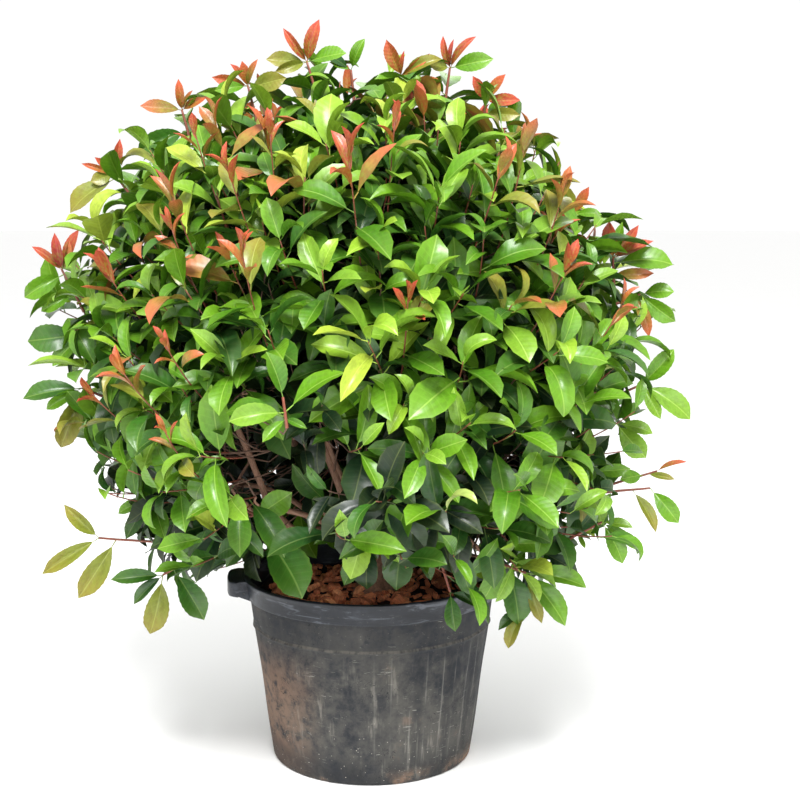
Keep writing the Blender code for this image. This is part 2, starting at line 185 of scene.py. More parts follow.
# Leaf tones, dealt out leaf by leaf. Each has a square of its own in the leaves' UV map.
UV_NAME = "OFBake"
CELLS = 4
CELL_EDGE = 0.04
Tone = namedtuple("Tone", "name rib tip roughness")
TONES = (
    Tone("shade", 0.20, 0.10, 0.42),
    Tone("dusk", 0.22, 0.12, 0.40),
    Tone("deep", 0.28, 0.20, 0.36),
    Tone("forest", 0.32, 0.22, 0.35),
    Tone("mid", 0.38, 0.28, 0.34),
    Tone("leaf", 0.42, 0.30, 0.34),
    Tone("fresh", 0.45, 0.32, 0.34),
    Tone("bright", 0.45, 0.35, 0.35),
    Tone("lime", 0.30, 0.35, 0.38),
    Tone("pale", 0.28, 0.30, 0.42),
    Tone("olive", 0.30, 0.40, 0.36),
    Tone("bronze", 0.25, 0.85, 0.35),
    Tone("orange", 0.20, 0.80, 0.35),
    Tone("coral", 0.20, 0.75, 0.35),
    Tone("red", 0.15, 0.70, 0.35),
)
# From the darkest to the lightest, the tones that full-grown leaves take by their light: painted shade
# inside the crown and towards its foot, painted light towards its top
LADDER = ("shade", "dusk", "deep", "forest", "mid", "leaf", "fresh", "bright", "lime")
RED_KINDS = ("bronze", "orange", "coral", "red")
NEAR_KIND = {"coral": "orange", "orange": "bronze", "red": "coral", "bronze": "orange"}
TONE_NUMBER = {tone.name: number for number, tone in enumerate(TONES)}

# Tufts of young leaves: pixel of the shoot's tip, and what it bears
RED_TUFTS = {
    "left crown low": ((196, 136), "coral", 0.7),
    "left brow low": ((172, 196), "orange", 0.95),
    "brow inner": ((229, 172), "coral", 0.9),
    "brow bud": ((270, 130), "coral", 0.6),
    "middle crown": ((349, 160), "coral", 1.1),
    "right crown low": ((501, 168), "orange", 0.9),
    "right crown edge": ((524, 148), "bronze", 1.0),
    "right brow": ((562, 196), "orange", 0.95),
    "right brow low": ((566, 268), "coral", 0.8),
    "right shoulder low": ((622, 306), "bronze", 0.8),
    "left shoulder low": ((108, 274), "coral", 0.95),
    "left middle": ((243, 256), "coral", 0.85),
    "left middle bud": ((171, 226), "coral", 0.6),
    "left flank": ((92, 394), "coral", 0.75),
    "left flank inner": ((124, 374), "orange", 0.85),
    "left flank bud": ((164, 342), "coral", 0.5),
    "left flank low": ((165, 432), "orange", 0.6),
    "heart": ((408, 300), "coral", 0.75),
    "brow twig": ((215, 122), "bronze", 0.8),
    "crest twig": ((395, 118), "coral", 0.6),
}

# Sprays of green leaves that show best: pixel of the tip, tone of its youngest leaves, size
GREEN_SPRAYS = {
    "centre right": ((404, 404), "fresh", 0.85),
    "over the heart": ((425, 290), "fresh", 1.0),
    "low right": ((446, 512), "mid", 1.0),
    "low far left": ((200, 456), "fresh", 1.0),
    "bright brow": ((262, 222), "lime", 1.0),
    "upper middle": ((322, 270), "fresh", 0.85),
    "upper right": ((440, 185), "fresh", 1.0),
    "right flank": ((560, 350), "fresh", 1.0),
    "right flank low": ((520, 490), "leaf", 1.0),
    "left flank": ((96, 232), "lime", 1.1),
}

# Green sprays at the crown's edge, from which its outline bulges
EDGE_SPRAYS = {
    "left brow": ((150, 150), "olive", 0.95),
    "left edge lowest": ((128, 470), "leaf", 0.9),
    "right edge lowest": ((612, 536), "leaf", 0.95),
}

# Sprays whose leaves show one by one: pixels of the twig's base and tip, how far in front of
# the pot's axis it lies, and each leaf by the pixel of its tip, its tone, its width and, where
# it isn't the nearest place on the twig, the pixel that its stalk springs from
OPEN_SPRAYS = {
    "low left twig": ((215, 550), (99, 538), 0.13, (
        ((65, 506), "olive", 0.9),
        ((43, 573), "olive", 0.75),
        ((80, 597), "olive", 0.85, (119, 541)),
    )),
    "low left hanging": ((205, 552), (163, 575), 0.16, (
        ((151, 633), "olive", 0.95),
        ((203, 617), "forest", 1.0),
        ((112, 579), "forest", 0.9),
        ((134, 603), "deep", 1.0),
    )),
    "low left broad": ((262, 515), (226, 520), 0.17, (
        ((186, 566), "forest", 1.2),
        ((196, 580), "dusk", 1.1, (226, 520)),
        ((152, 546), "deep", 1.0),
    )),
    "right twig": ((592, 492), (657, 471), 0.04, (
        ((688, 461), "orange", 0.7),
        ((674, 479), "olive", 0.8, (646, 476)),
        ((622, 479), "leaf", 1.2, (645, 478)),
    )),
    "right twig low": ((592, 495), (650, 488), 0.06, (
        ((678, 522), "leaf", 1.0),
        ((656, 531), "olive", 0.75, (632, 492)),
        ((602, 508), "fresh", 0.9, (612, 490)),
    )),
    "behind the right twig": ((570, 482), (592, 472), 0.05, (
        ((629, 469), "leaf", 0.9),
        ((583, 528), "olive", 0.9),
        ((602, 522), "fresh", 0.9),
        ((546, 498), "leaf", 1.1),
    )),
    "dark before the gap": ((556, 474), (574, 466), 0.06, (
        ((608, 437), "dusk", 1.0),
        ((590, 506), "forest", 0.9),
    )),
    "low right twig": ((476, 556), (526, 573), 0.20, (
        ((587, 586), "leaf", 1.0),
        ((565, 624), "leaf", 1.05),
        ((519, 624), "forest", 1.35, (508, 566)),
        ((541, 621), "olive", 0.55),
        ((472, 570), "bright", 1.2, (512, 568)),
    )),
    "low right hanging": ((522, 588), (527, 606), 0.20, (
        ((507, 648), "olive", 0.9),
        ((499, 629), "deep", 0.8),
    )),
    "under the right foot": ((520, 545), (542, 552), 0.14, (
        ((576, 571), "dusk", 0.9),
        ((512, 572), "leaf", 0.8),
    )),
    "over the mulch": ((290, 500), (260, 529), 0.235, (
        ((302, 594), "forest", 1.35),
        ((226, 566), "deep", 1.1),
    )),
    "beside it": ((325, 510), (374, 523), 0.20, (
        ((336, 539), "fresh", 1.0),
        ((351, 578), "bright", 1.05),
        ((340, 512), "lime", 1.0),
        ((398, 560), "fresh", 1.0),
    )),
    "over the wall": ((440, 560), (450, 592), 0.215, (
        ((455, 630), "forest", 1.1),
        ((478, 606), "deep", 1.0),
    )),
    "behind the rim": ((430, 520), (404, 535), 0.15, (
        ((396, 589), "deep", 1.5),
        ((384, 574), "deep", 1.0),
        ((432, 580), "deep", 1.0),
    )),
    "bright cluster": ((268, 522), (229, 503), 0.23, (
        ((184, 518), "bright", 1.1),
        ((231, 543), "bright", 1.5),
        ((184, 454), "fresh", 1.0),
        ((290, 494), "leaf", 1.35),
    )),
    "before the root crown": ((352, 528), (370, 542), 0.15, (
        ((366, 588), "dusk", 1.4),
        ((344, 584), "forest", 0.9),
    )),
    "under the left flank": ((170, 476), (150, 498), 0.10, (
        ((118, 513), "leaf", 1.0),
        ((126, 538), "deep", 1.0),
        ((168, 538), "forest", 0.7),
        ((196, 516), "deep", 0.9),
    )),
    "heart left": ((287, 428), (283, 397), 0.47, (
        ((268, 353), "mid", 1.35),
        ((229, 420), "fresh", 1.2),
        ((263, 441), "leaf", 0.95),
        ((306, 428), "mid", 0.9),
    )),
    "heart right": ((346, 430), (342, 391), 0.48, (
        ((281, 357), "leaf", 1.1),
        ((304, 443), "leaf", 1.05),
        ((388, 436), "fresh", 1.1),
        ((335, 356), "fresh", 0.75),
        ((368, 388), "mid", 0.9),
    )),
    "crest": ((318, 100), (307, 62), 0.06, (
        ((319, 18), "coral", 1.2),
        ((282, 27), "coral", 0.95),
        ((313, 30), "orange", 1.0),
        ((268, 59), "olive", 1.0),
        ((344, 52), "leaf", 1.2),
        ((276, 71), "olive", 1.0),
    )),
    "behind the crest": ((354, 100), (351, 70), 0.02, (
        ((364, 39), "leaf", 1.1),
        ((331, 62), "leaf", 1.1),
        ((322, 52), "deep", 0.8),
    )),
    "middle of the crest": ((402, 96), (401, 76), 0.04, (
        ((386, 40), "orange", 1.1),
        ((431, 53), "orange", 1.0),
        ((441, 58), "olive", 0.9),
        ((404, 50), "coral", 0.7),
        ((376, 78), "leaf", 0.8),
    )),
    "right of the crest": ((445, 104), (450, 68), 0.03, (
        ((442, 35), "coral", 0.95),
        ((476, 34), "coral", 0.9),
        ((453, 38), "red", 0.7),
        ((492, 59), "leaf", 1.1),
        ((430, 64), "olive", 1.25),
    )),
    "right crown": ((484, 124), (485, 100), 0.06, (
        ((473, 76), "coral", 1.2),
        ((505, 74), "orange", 1.0),
        ((487, 80), "orange", 0.9),
        ((520, 100), "coral", 1.0),
        ((519, 115), "olive", 1.0),
        ((460, 112), "orange", 1.0),
    )),
    "left of the crest": ((257, 122), (248, 86), 0.06, (
        ((242, 61), "orange", 1.2),
        ((257, 58), "bronze", 1.0),
        ((230, 63), "coral", 0.95),
        ((212, 77), "orange", 0.9),
        ((284, 78), "olive", 1.2),
        ((216, 90), "leaf", 0.9),
    )),
    "left crown": ((190, 140), (182, 110), 0.05, (
        ((178, 78), "orange", 1.2),
        ((140, 105), "bronze", 1.0),
        ((192, 90), "bronze", 0.8),
        ((209, 94), "orange", 0.9),
        ((137, 152), "forest", 1.2),
    )),
    "left brow": ((136, 204), (115, 174), 0.05, (
        ((120, 138), "coral", 1.0),
        ((95, 157), "coral", 0.8),
        ((80, 163), "orange", 0.8),
        ((92, 181), "olive", 1.2),
        ((70, 210), "olive", 1.0),
    )),
    "left shoulder": ((84, 312), (62, 270), 0.03, (
        ((31, 245), "coral", 1.0),
        ((54, 232), "red", 1.0),
        ((78, 229), "coral", 0.8),
        ((24, 297), "leaf", 1.3),
        ((41, 311), "leaf", 1.1),
        ((70, 240), "bronze", 0.9),
    )),
    "left edge": ((112, 352), (84, 334), 0.03, (
        ((29, 341), "forest", 1.2),
        ((53, 365), "leaf", 1.0),
    )),
    "left edge low": ((118, 404), (82, 388), 0.04, (
        ((24, 397), "forest", 1.15),
        ((46, 409), "leaf", 0.9),
        ((60, 448), "olive", 1.1),
    )),
    "right shoulder": ((614, 292), (613, 258), 0.05, (
        ((609, 221), "coral", 1.3),
        ((639, 225), "coral", 0.8),
        ((653, 240), "coral", 0.9),
        ((622, 223), "leaf", 0.8),
        ((671, 262), "leaf", 1.1),
        ((655, 273), "bronze", 1.1),
    )),
    "right brow": ((570, 232), (573, 214), 0.04, (
        ((600, 214), "leaf", 0.8),
        ((589, 187), "orange", 0.9),
        ((562, 200), "coral", 0.9),
    )),
    "right edge high": ((612, 306), (640, 294), 0.03, (
        ((672, 291), "leaf", 1.2),
        ((674, 321), "leaf", 1.0),
        ((650, 338), "bronze", 1.1),
    )),
    "right edge": ((606, 402), (642, 384), 0.05, (
        ((674, 350), "leaf", 1.2),
        ((690, 417), "fresh", 0.95),
        ((660, 418), "fresh", 0.9),
        ((612, 414), "forest", 1.0),
    )),
    "right edge low": ((570, 424), (616, 423), 0.05, (
        ((645, 457), "fresh", 1.2),
        ((651, 432), "fresh", 0.9),
    )),
    "right foot": ((560, 545), (602, 522), 0.08, (
        ((632, 527), "fresh", 1.0),
        ((623, 562), "leaf", 1.0),
        ((636, 549), "leaf", 0.8),
        ((585, 548), "fresh", 0.9),
    )),
}

# Stems that show in the openings: pixels along them, distance in front of the axis at
# their far end, radius. Each springs from the limb it is seen nearest to, where a place
# behind the axis counts as farther off by some pixels for each metre.
PIXELS_BEHIND = 60
STEM_STEPS = 8
STEMS = {
    "left stem": (((318, 546), (300, 533), (272, 508), (259, 479), (243, 440), (226, 405)), 0.16, 0.0068),
    "middle stem": (((357, 520), (350, 497), (342, 478), (328, 442), (322, 405)), 0.13, 0.0052),
    "right stem": (((440, 515), (462, 532), (483, 553)), 0.12, 0.0036),
}

# Openings in the leaves: pixel of the middle, half width and half height in pixels
WINDOW_BACK = 0.04
STEM_WINDOWS = {
    "left stem": ((250, 460), 24, 38),
    "left stem foot": ((288, 512), 20, 26),
    "middle stem": ((338, 470), 13, 32),
    "right stem": ((474, 545), 12, 12),
    "mulch": ((356, 584), 96, 17),
    "rim": ((350, 622), 104, 30),
}
SKY_GAPS = {
    "left lug": ((236, 580), 17, 18),
    "by the left stem": ((277, 478), 9, 8),
    "left of the stem": ((234, 488), 5, 8),
    "low left": ((203, 497), 15, 5),
    "under the left": ((125, 505), 12, 12),
    "low right": ((575, 520), 8, 8),
    "right brow": ((606, 190), 30, 18),
    "low left edge": ((40, 545), 70, 74),
    "low left twig above": ((104, 527), 22, 11),
    "low left twig below": ((112, 566), 36, 13),
    "left flank": ((72, 456), 24, 20),
    "left flank low": ((92, 500), 11, 25),
    "left brow": ((62, 192), 34, 24),
    "left crown": ((150, 124), 20, 12),
    "left crown high": ((208, 68), 16, 16),
    "beside the crest": ((336, 32), 13, 16),
    "left of the crest": ((280, 62), 26, 17),
    "right of the crest": ((375, 58), 17, 22),
    "right crown": ((463, 84), 9, 13),
    "right crown high": ((520, 84), 22, 12),
    "right crown edge": ((552, 112), 28, 18),
    "right of the crown": ((582, 158), 22, 32),
    "right edge upper": ((660, 332), 10, 10),
    "right edge middle": ((658, 372), 14, 12),
    "right of the twigs": ((602, 442), 18, 16),
    "right edge lower": ((648, 424), 13, 12),
    "over the right twig": ((642, 461), 22, 7),
    "under the right leaves": ((614, 484), 12, 5),
    "under the right twig": ((628, 509), 20, 10),
    "right foot": ((604, 566), 26, 24),
    "right foot inner": ((590, 558), 13, 8),
    "right of the edge": ((696, 396), 23, 26),
    "inside the right": ((509, 461), 9, 9),
    "by the lug": ((216, 583), 13, 8),
    "left edge": ((40, 330), 18, 16),
    "right edge high": ((676, 372), 22, 16),
    "under left": ((120, 645), 140, 62),
    "under right": ((600, 645), 84, 42),
    "foot left": ((60, 580), 38, 22),
    "foot right": ((650, 590), 42, 30),
}

# Parts of the crown's front that lie in shade: as above, and steps down the ladder of tones
SHADED = {
    "low middle": ((405, 505), 95, 62, 3.3),
    "above the heart": ((315, 285), 62, 52, 1.1),
    "round the stems": ((300, 470), 60, 60, 2.0),
    "heart": ((452, 395), 50, 46, 1.4),
    "under the left brow": ((190, 385), 44, 52, 0.8),
    "left flank": ((85, 330), 60, 90, 0.9),
}


class Value:
    """A number in a socket. Arithmetic on it adds Math nodes to its surface."""

    def __init__(self, surface, socket):
        self.surface = surface
        self.socket = socket

    def math(self, operation, *terms):
        return self.surface.node("ShaderNodeMath", {"operation": operation}, terms)

    def __add__(self, other):
        return self.math("ADD", self, other)

    __radd__ = __add__

    def __sub__(self, other):
        return self.math("SUBTRACT", self, other)

    def __rsub__(self, other):
        return self.math("SUBTRACT", other, self)

    def __mul__(self, other):
        return self.math("MULTIPLY", self, other)

    __rmul__ = __mul__

    def __truediv__(self, other):
        return self.math("DIVIDE", self, other)

    def __abs__(self):
        return self.math("ABSOLUTE", self)

    def at_most(self, other):
        return self.math("MINIMUM", self, other)

    def at_least(self, other):
        return self.math("MAXIMUM", self, other)

    def fraction(self):
        return self.math("FRACT", self)

    def cosine(self):
        return self.math("COSINE", self)

    def rise(self, low, high):
        """0 up to low, 1 from high on, and smooth between."""
        ends = {"Value": self, "From Min": low, "From Max": high}
        return self.surface.node("ShaderNodeMapRange", {"interpolation_type": "SMOOTHSTEP"}, ends)

    def fall(self, low, high):
        """1 up to low, 0 from high on, and smooth between."""
        return 1 - self.rise(low, high)


# Sockets of a Mix node that mixes colours
MIX_SHARE, MIX_FIRST, MIX_SECOND, MIX_RESULT = 0, 6, 7, 2


class Surface:
    """A material in the making: a Principled shader and the nodes that feed it."""

    def __init__(self, name):
        self.material = bpy.data.materials.new(name)
        self.material.use_nodes = True
        self.tree = self.material.node_tree
        self.shader = self.tree.nodes["Principled BSDF"]

    def node(self, kind, settings=None, inputs=(), output=0):
        """Adds a node, with its settings first and then its sockets' values or links."""
        made = self.tree.nodes.new(kind)
        for name, value in (settings or {}).items():
            setattr(made, name, value)
        pairs = inputs.items() if isinstance(inputs, dict) else enumerate(inputs)
        for key, value in pairs:
            self.feed(made.inputs[key], value)
        return Value(self, made.outputs[output])

    def feed(self, socket, value):
        if isinstance(value, Value):
            self.tree.links.new(value.socket, socket)
        elif socket.type == "RGBA":
            socket.default_value = (*value[:3], 1.0)
        else:
            socket.default_value = value

    def parts(self, vector):
        """The three numbers of a vector."""
        first = self.node("ShaderNodeSeparateXYZ", {}, [vector])
        return [Value(self, socket) for socket in first.socket.node.outputs]

    def place(self):
        """Position in metres."""
        return self.node("ShaderNodeTexCoord", output="Object")

    def spot(self):
        return self.node("ShaderNodeUVMap", {"uv_map": UV_NAME})

    def stretched(self, vector, *factors):
        return self.node("ShaderNodeVectorMath", {"operation": "MULTIPLY"}, [vector, factors])

    def noise(self, where, scale, detail=3.0, rough=0.55, warp=0.0):
        inputs = {
            "Vector": where,
            "Scale": scale,
            "Detail": detail,
            "Roughness": rough,
            "Distortion": warp,
        }
        return self.node("ShaderNodeTexNoise", {}, inputs)

    def cells(self, where, scale):
        inputs = {"Vector": where, "Scale": scale}
        return self.node("ShaderNodeTexVoronoi", {}, inputs, "Distance")

    def mix(self, first, second, share):
        inputs = {MIX_SHARE: share, MIX_FIRST: first, MIX_SECOND: second}
        return self.node("ShaderNodeMix", {"data_type": "RGBA"}, inputs, MIX_RESULT)

    def finish(self, colour, roughness, height=None, strength=0.5, distance=0.001):
        """Feeds the shader and gives back the material."""
        self.feed(self.shader.inputs["Base Color"], colour)
        self.feed(self.shader.inputs["Roughness"], roughness)
        if height is not None:
            inputs = {"Strength": strength, "Distance": distance, "Height": height}
            bump = self.node("ShaderNodeBump", {}, inputs)
            self.feed(self.shader.inputs["Normal"], bump)
        return self.material


def linear(red, green, blue):
    """A screen colour of 0 to 255 as linear light."""
    shares = [channel / 255 for channel in (red, green, blue)]
    return tuple(c / 12.92 if c <= 0.04045 else ((c + 0.055) / 1.055) ** 2.4 for c in shares)


def scaled(colour, factor):
    return tuple(min(1.0, channel * factor) for channel in colour)


def blended(first, second, share):
    return tuple(a + (b - a) * share for a, b in zip(first, second))


def colour_property(name, description, *screen):
    return FloatVectorProperty(
        name=name,
        description=description,
        subtype="COLOR",
        size=3,
        min=0.0,
        max=1.0,
        default=linear(*screen),
    )


def length_property(name, description, metres):
    return FloatProperty(
        name=name, description=description, default=metres, min=0.0, unit="LENGTH", precision=4
    )


class PotLooks(bpy.types.PropertyGroup):
    """Sizes and colours of the pot and its mulch."""

    flutes: IntProperty(
        name="Flutes", description="Shallow upright flutes round the wall", default=20, min=0
    )
    flute_depth: length_property("Flute depth", "How deep a flute is pressed in", 0.0010)
    plastic: colour_property("Plastic", "Clean black plastic", 24, 27, 33)
    worn: colour_property("Worn plastic", "Scuffed and dusty plastic", 84, 82, 77)
    stain: colour_property("Stain", "Dried soil on the wall", 128, 100, 80)
    chip_length: length_property("Chip length", "Length of a chip of bark mulch", 0.030)
    # Painted light: the chip colour is lighter than the mulch itself, to make up for the shade of the
    # crown over it
    chip: colour_property("Chip", "Bark mulch", 222, 134, 92)
    compost: colour_property("Compost", "Dark compost between the chips", 52, 36, 28)


class CrownLooks(bpy.types.PropertyGroup):
    """Sizes of the twigs and leaves."""

    seed: IntProperty(name="Seed", description="Start of all random draws", default=11)
    spacing: length_property("Shoot spacing", "Least distance between shoot tips", 0.060)
    shoot_length: length_property("Shoot length", "Leafy length of a shoot", 0.115)
    leaf_length: length_property("Leaf length", "Blade of a full-grown leaf", 0.075)
    twig_radius: length_property("Twig radius", "Radius of the youngest twigs", 0.0012)


class LeafColours(bpy.types.PropertyGroup):
    """Colours of the bark and of each tone of leaf."""

    bark: colour_property("Bark", "Pinkish grey-brown bark", 150, 112, 90)
    twig: colour_property("Young twig", "Red-brown young twigs", 118, 58, 38)
    # The darker tones stand for leaves in shade wherever they are dealt, also in the tables of sprays:
    # painted shade
    shade: colour_property("Shade", "Leaves deep in the crown", 14, 32, 18)
    dusk: colour_property("Dusk", "Leaves inside the crown", 22, 48, 24)
    deep: colour_property("Deep", "Dark blue-green leaves", 34, 70, 26)
    forest: colour_property("Forest", "Dark green leaves", 44, 86, 21)
    mid: colour_property("Mid", "Full-grown leaves", 60, 104, 17)
    leaf: colour_property("Leaf", "Full-grown leaves in light", 78, 122, 20)
    fresh: colour_property("Fresh", "Leaves of the year", 96, 134, 34)
    bright: colour_property("Bright", "Bright young green leaves", 114, 148, 38)
    lime: colour_property("Lime", "Yellow-green young leaves", 138, 156, 50)
    pale: colour_property("Pale", "Leaves seen from below", 140, 156, 80)
    olive: colour_property("Olive", "Leaves turning from bronze to green", 106, 114, 36)
    bronze: colour_property("Bronze", "Bronze young leaves", 116, 92, 38)
    orange: colour_property("Orange", "Orange young leaves", 140, 78, 36)
    coral: colour_property("Coral", "Coral young leaves", 134, 60, 36)
    red: colour_property("Red", "Red youngest leaves", 126, 42, 44)


class StageLooks(bpy.types.PropertyGroup):
    """Floor and light."""

    floor: colour_property("Floor", "Plain pale floor", 250, 250, 249)
    sky: FloatProperty(name="Sky", description="Strength of the even light", default=1.03, min=0)
    key: FloatProperty(name="Key", description="Key light in watts", default=270.0, min=0)
    fill: FloatProperty(name="Fill", description="Fill light in watts", default=34.0, min=0)


Part = namedtuple("Part", "points faces spots tone")


def more_faces(before, faces, spots, tone=0):
    """Further faces on the points of the part that comes just before."""
    return Part(np.zeros((0, 3)), faces - len(before.points), spots, tone)


def plain_spots(faces):
    """UV spots of faces that carry no pattern: all in the middle."""
    return np.full((*faces.shape, 2), 0.5)


def joined_object(name, parts, materials):
    """One smooth object from parts: points, faces (rows of corners), UV spots and material."""
    loops, sides, tones, spots, start = [], [], [], [], 0
    for part in parts:
        loops.append((part.faces + start).ravel())
        sides.append(np.full(len(part.faces), part.faces.shape[1]))
        tones.append(np.broadcast_to(part.tone, len(part.faces)))
        spots.append(part.spots.reshape(-1, 2))
        start += len(part.points)
    points = np.concatenate([part.points for part in parts])
    sides = np.concatenate(sides)
    mesh = bpy.data.meshes.new(name)
    mesh.vertices.add(len(points))
    mesh.vertices.foreach_set("co", points.astype(np.float32).ravel())
    mesh.loops.add(int(sides.sum()))
    mesh.loops.foreach_set("vertex_index", np.concatenate(loops).astype(np.int32))
    mesh.polygons.add(len(sides))
    starts = np.concatenate([[0], np.cumsum(sides)[:-1]])
    mesh.polygons.foreach_set("loop_start", starts.astype(np.int32))
    mesh.polygons.foreach_set("material_index", np.concatenate(tones).astype(np.int32))
    mesh.update(calc_edges=True)
    layer = mesh.uv_layers.new(name=UV_NAME)
    layer.data.foreach_set("uv", np.concatenate(spots).astype(np.float32).ravel())
    for material in materials:
        mesh.materials.append(material)
    mesh.shade_smooth()
    piece = bpy.data.objects.new(name, mesh)
    bpy.context.collection.objects.link(piece)
    return piece


def grid_faces(rows, columns, wrap):
    """Corner numbers of the quads between rows of points, closed round each row if wrap."""
    row, column = np.meshgrid(np.arange(rows - 1), np.arange(columns if wrap else columns - 1))
    row, column = row.T.ravel(), column.T.ravel()
    after = (column + 1) % columns
    low, high = row * columns, (row + 1) * columns
    return np.stack([low + column, low + after, high + after, high + column], axis=1)


def wrapped_spots(faces, sides, along):
    """UV spots of the quads round an axis: round it across, and each row at its own height."""
    row, column = faces[:, 0] // sides, faces[:, 0] % sides
    low, high = along[row], along[row + 1]
    left, right = column / sides, (column + 1) / sides
    corners = ((left, low), (right, low), (right, high), (left, high))
    return np.stack([np.stack(corner, 1) for corner in corners], axis=1)


def turned_part(profile, sides, shape=None):
    """A surface of revolution from (radius, height) points, outer side going up."""
    profile = np.array(profile)
    around = np.linspace(0, math.tau, sides, endpoint=False)
    radius = np.repeat(profile[:, :1], sides, axis=1)
    height = np.repeat(profile[:, 1:], sides, axis=1)
    around = np.repeat(around[None, :], len(profile), axis=0)
    if shape is not None:
        radius, height = shape(radius, height, around)
    points = np.stack([radius * np.cos(around), radius * np.sin(around), height], axis=-1)
    faces = grid_faces(len(profile), sides, True)
    steps = np.hypot(*np.diff(profile, axis=0).T)
    along = np.concatenate([[0], np.cumsum(steps)]) / steps.sum()
    return Part(points.reshape(-1, 3), faces, wrapped_spots(faces, sides, along), 0)


def arc(centre, radius, start, end, steps):
    """Points of a (radius, height) arc, angles in degrees from outwards towards up."""
    angles = np.radians(np.linspace(start, end, steps))
    return [(centre[0] + radius * math.cos(a), centre[1] + radius * math.sin(a)) for a in angles]


def wall_radius(height):
    slope = (RIM_RADIUS - 2 * RIM_STEP - BASE_RADIUS) / BAND_FOOT
    return BASE_RADIUS + slope * height


def pot_profile():
    """From the middle of the underside, up the outer side and over the rim, down inside."""
    inset = BASE_RADIUS - BASE_ROUNDING
    profile = [(0.0, 0.0), (0.5 * inset, 0.0)]
    profile += arc((inset, BASE_ROUNDING), BASE_ROUNDING, -90, 0, 8)
    profile += [(wall_radius(h), h) for h in np.arange(0.018, RIDGE_HEIGHT - 0.005, 0.006)]
    for share in np.linspace(-1, 1, 9):
        height = RIDGE_HEIGHT + 0.0035 * share
        profile.append((wall_radius(height) + RIDGE_PROUD * (1 - share**2) ** 2, height))
    profile += [(wall_radius(h), h) for h in np.arange(RIDGE_HEIGHT + 0.007, BAND_FOOT - 0.007, 0.006)]
    flare = BAND_FOOT - 0.0055
    profile += [(wall_radius(flare) + 0.0006, flare)]
    profile += [(wall_radius(BAND_FOOT - 0.002), BAND_FOOT - 0.002)]
    profile += [(wall_radius(BAND_FOOT) + 0.0004, BAND_FOOT)]
    edge = RIM_RADIUS - RIM_STEP
    profile += arc((edge - 0.0016, BAND_FOOT + 0.0018), 0.0016, -90, 0, 5)
    for share in np.linspace(0.15, 0.8, 7):
        height = BAND_FOOT + share * RIM_DEPTH
        belly = 0.0010 * math.sin(math.pi * share)
        profile.append((edge + (RIM_STEP - RIM_ROUND) * share - belly, height))
    crown = POT_HEIGHT - RIM_ROUND
    profile += arc((RIM_RADIUS - RIM_ROUND - 0.0004, crown), RIM_ROUND, -10, 90, 8)
    profile += arc((RIM_RADIUS - RIM_LIP + RIM_ROUND, crown), RIM_ROUND, 90, 180, 6)
    inside = np.linspace(BAND_FOOT - 0.002, SOIL_TOP - 0.03, 9)
    profile += [(wall_radius(h) - WALL, h) for h in inside]
    return profile


def pot_shape(radius, height, around):
    """Presses the flutes into the wall and lets it waver as thin plastic does."""
    looks = bpy.context.scene.pot_looks
    low = np.clip((height - 0.010) / 0.030, 0, 1)
    high = np.clip((BAND_FOOT - 0.010 - height) / 0.030, 0, 1)
    outer = radius > wall_radius(height) - 0.5 * WALL
    wave = 0.5 - 0.5 * np.cos(around * looks.flutes + FLUTE_PHASE)
    depth = looks.flute_depth * wave**2 * low * high * outer
    waver = 0.0012 * np.sin(2 * around + 0.6) + 0.0006 * np.sin(5 * around + 9 * height)
    dent = 0.0005 * np.sin(11 * around + 40 * height) * low
    share = np.clip(height / POT_HEIGHT, 0, 1)
    return radius - depth + (waver * share + dent * high) * (radius > 0.05), height


def lug_section():
    """Cut through a lug from the rim outwards and round its lip, as (radius, height) points."""
    edge, lip = LUG_EDGE, LUG_OUTER - LUG_THICK
    foot = LUG_TOP - LUG_DEPTH
    section = [(LUG_INNER, LUG_TOP - LUG_THICK), (LUG_INNER, LUG_TOP)]
    section += arc((LUG_OUTER - LUG_BEND, LUG_TOP - LUG_BEND), LUG_BEND, 90, 0, 5)
    section += arc((LUG_OUTER - 0.0012, foot + edge), 0.0012, 0, -90, 3)
    section += arc((lip + edge, foot + edge), edge, -90, -180, 3)
    section += arc((lip - edge, LUG_TOP - LUG_THICK - edge), edge, 0, 90, 3)
    return section


def turned_to(turn, outline):
    """Points of a (radius, height) outline at a turn about the pot's axis."""
    return [(r * math.cos(turn), r * math.sin(turn), h) for r, h in outline]


def lug_webs(middle):
    """The upright webs that close the two ends of a lug."""
    foot = BAND_FOOT - 0.004
    lip = LUG_OUTER - LUG_THICK - 0.004
    high = LUG_TOP - 0.001
    edge = [(LUG_INNER, high), (lip, high), (lip, LUG_TOP - LUG_DEPTH + 0.002), (wall_radius(foot), foot)]
    half = 0.5 * LUG_THICK / RIM_RADIUS
    sheet = np.vstack([grid_faces(2, 4, True), [[0, 1, 2, 3]], [[7, 6, 5, 4]]])
    webs = []
    for share in (-LUG_WEB_AT, LUG_WEB_AT):
        turn = middle + LUG_HALF_TURN * share
        corners = np.array([turned_to(turn - half, edge), turned_to(turn + half, edge)])
        webs.append(Part(corners.reshape(-1, 3), sheet, plain_spots(sheet), 0))
    return webs


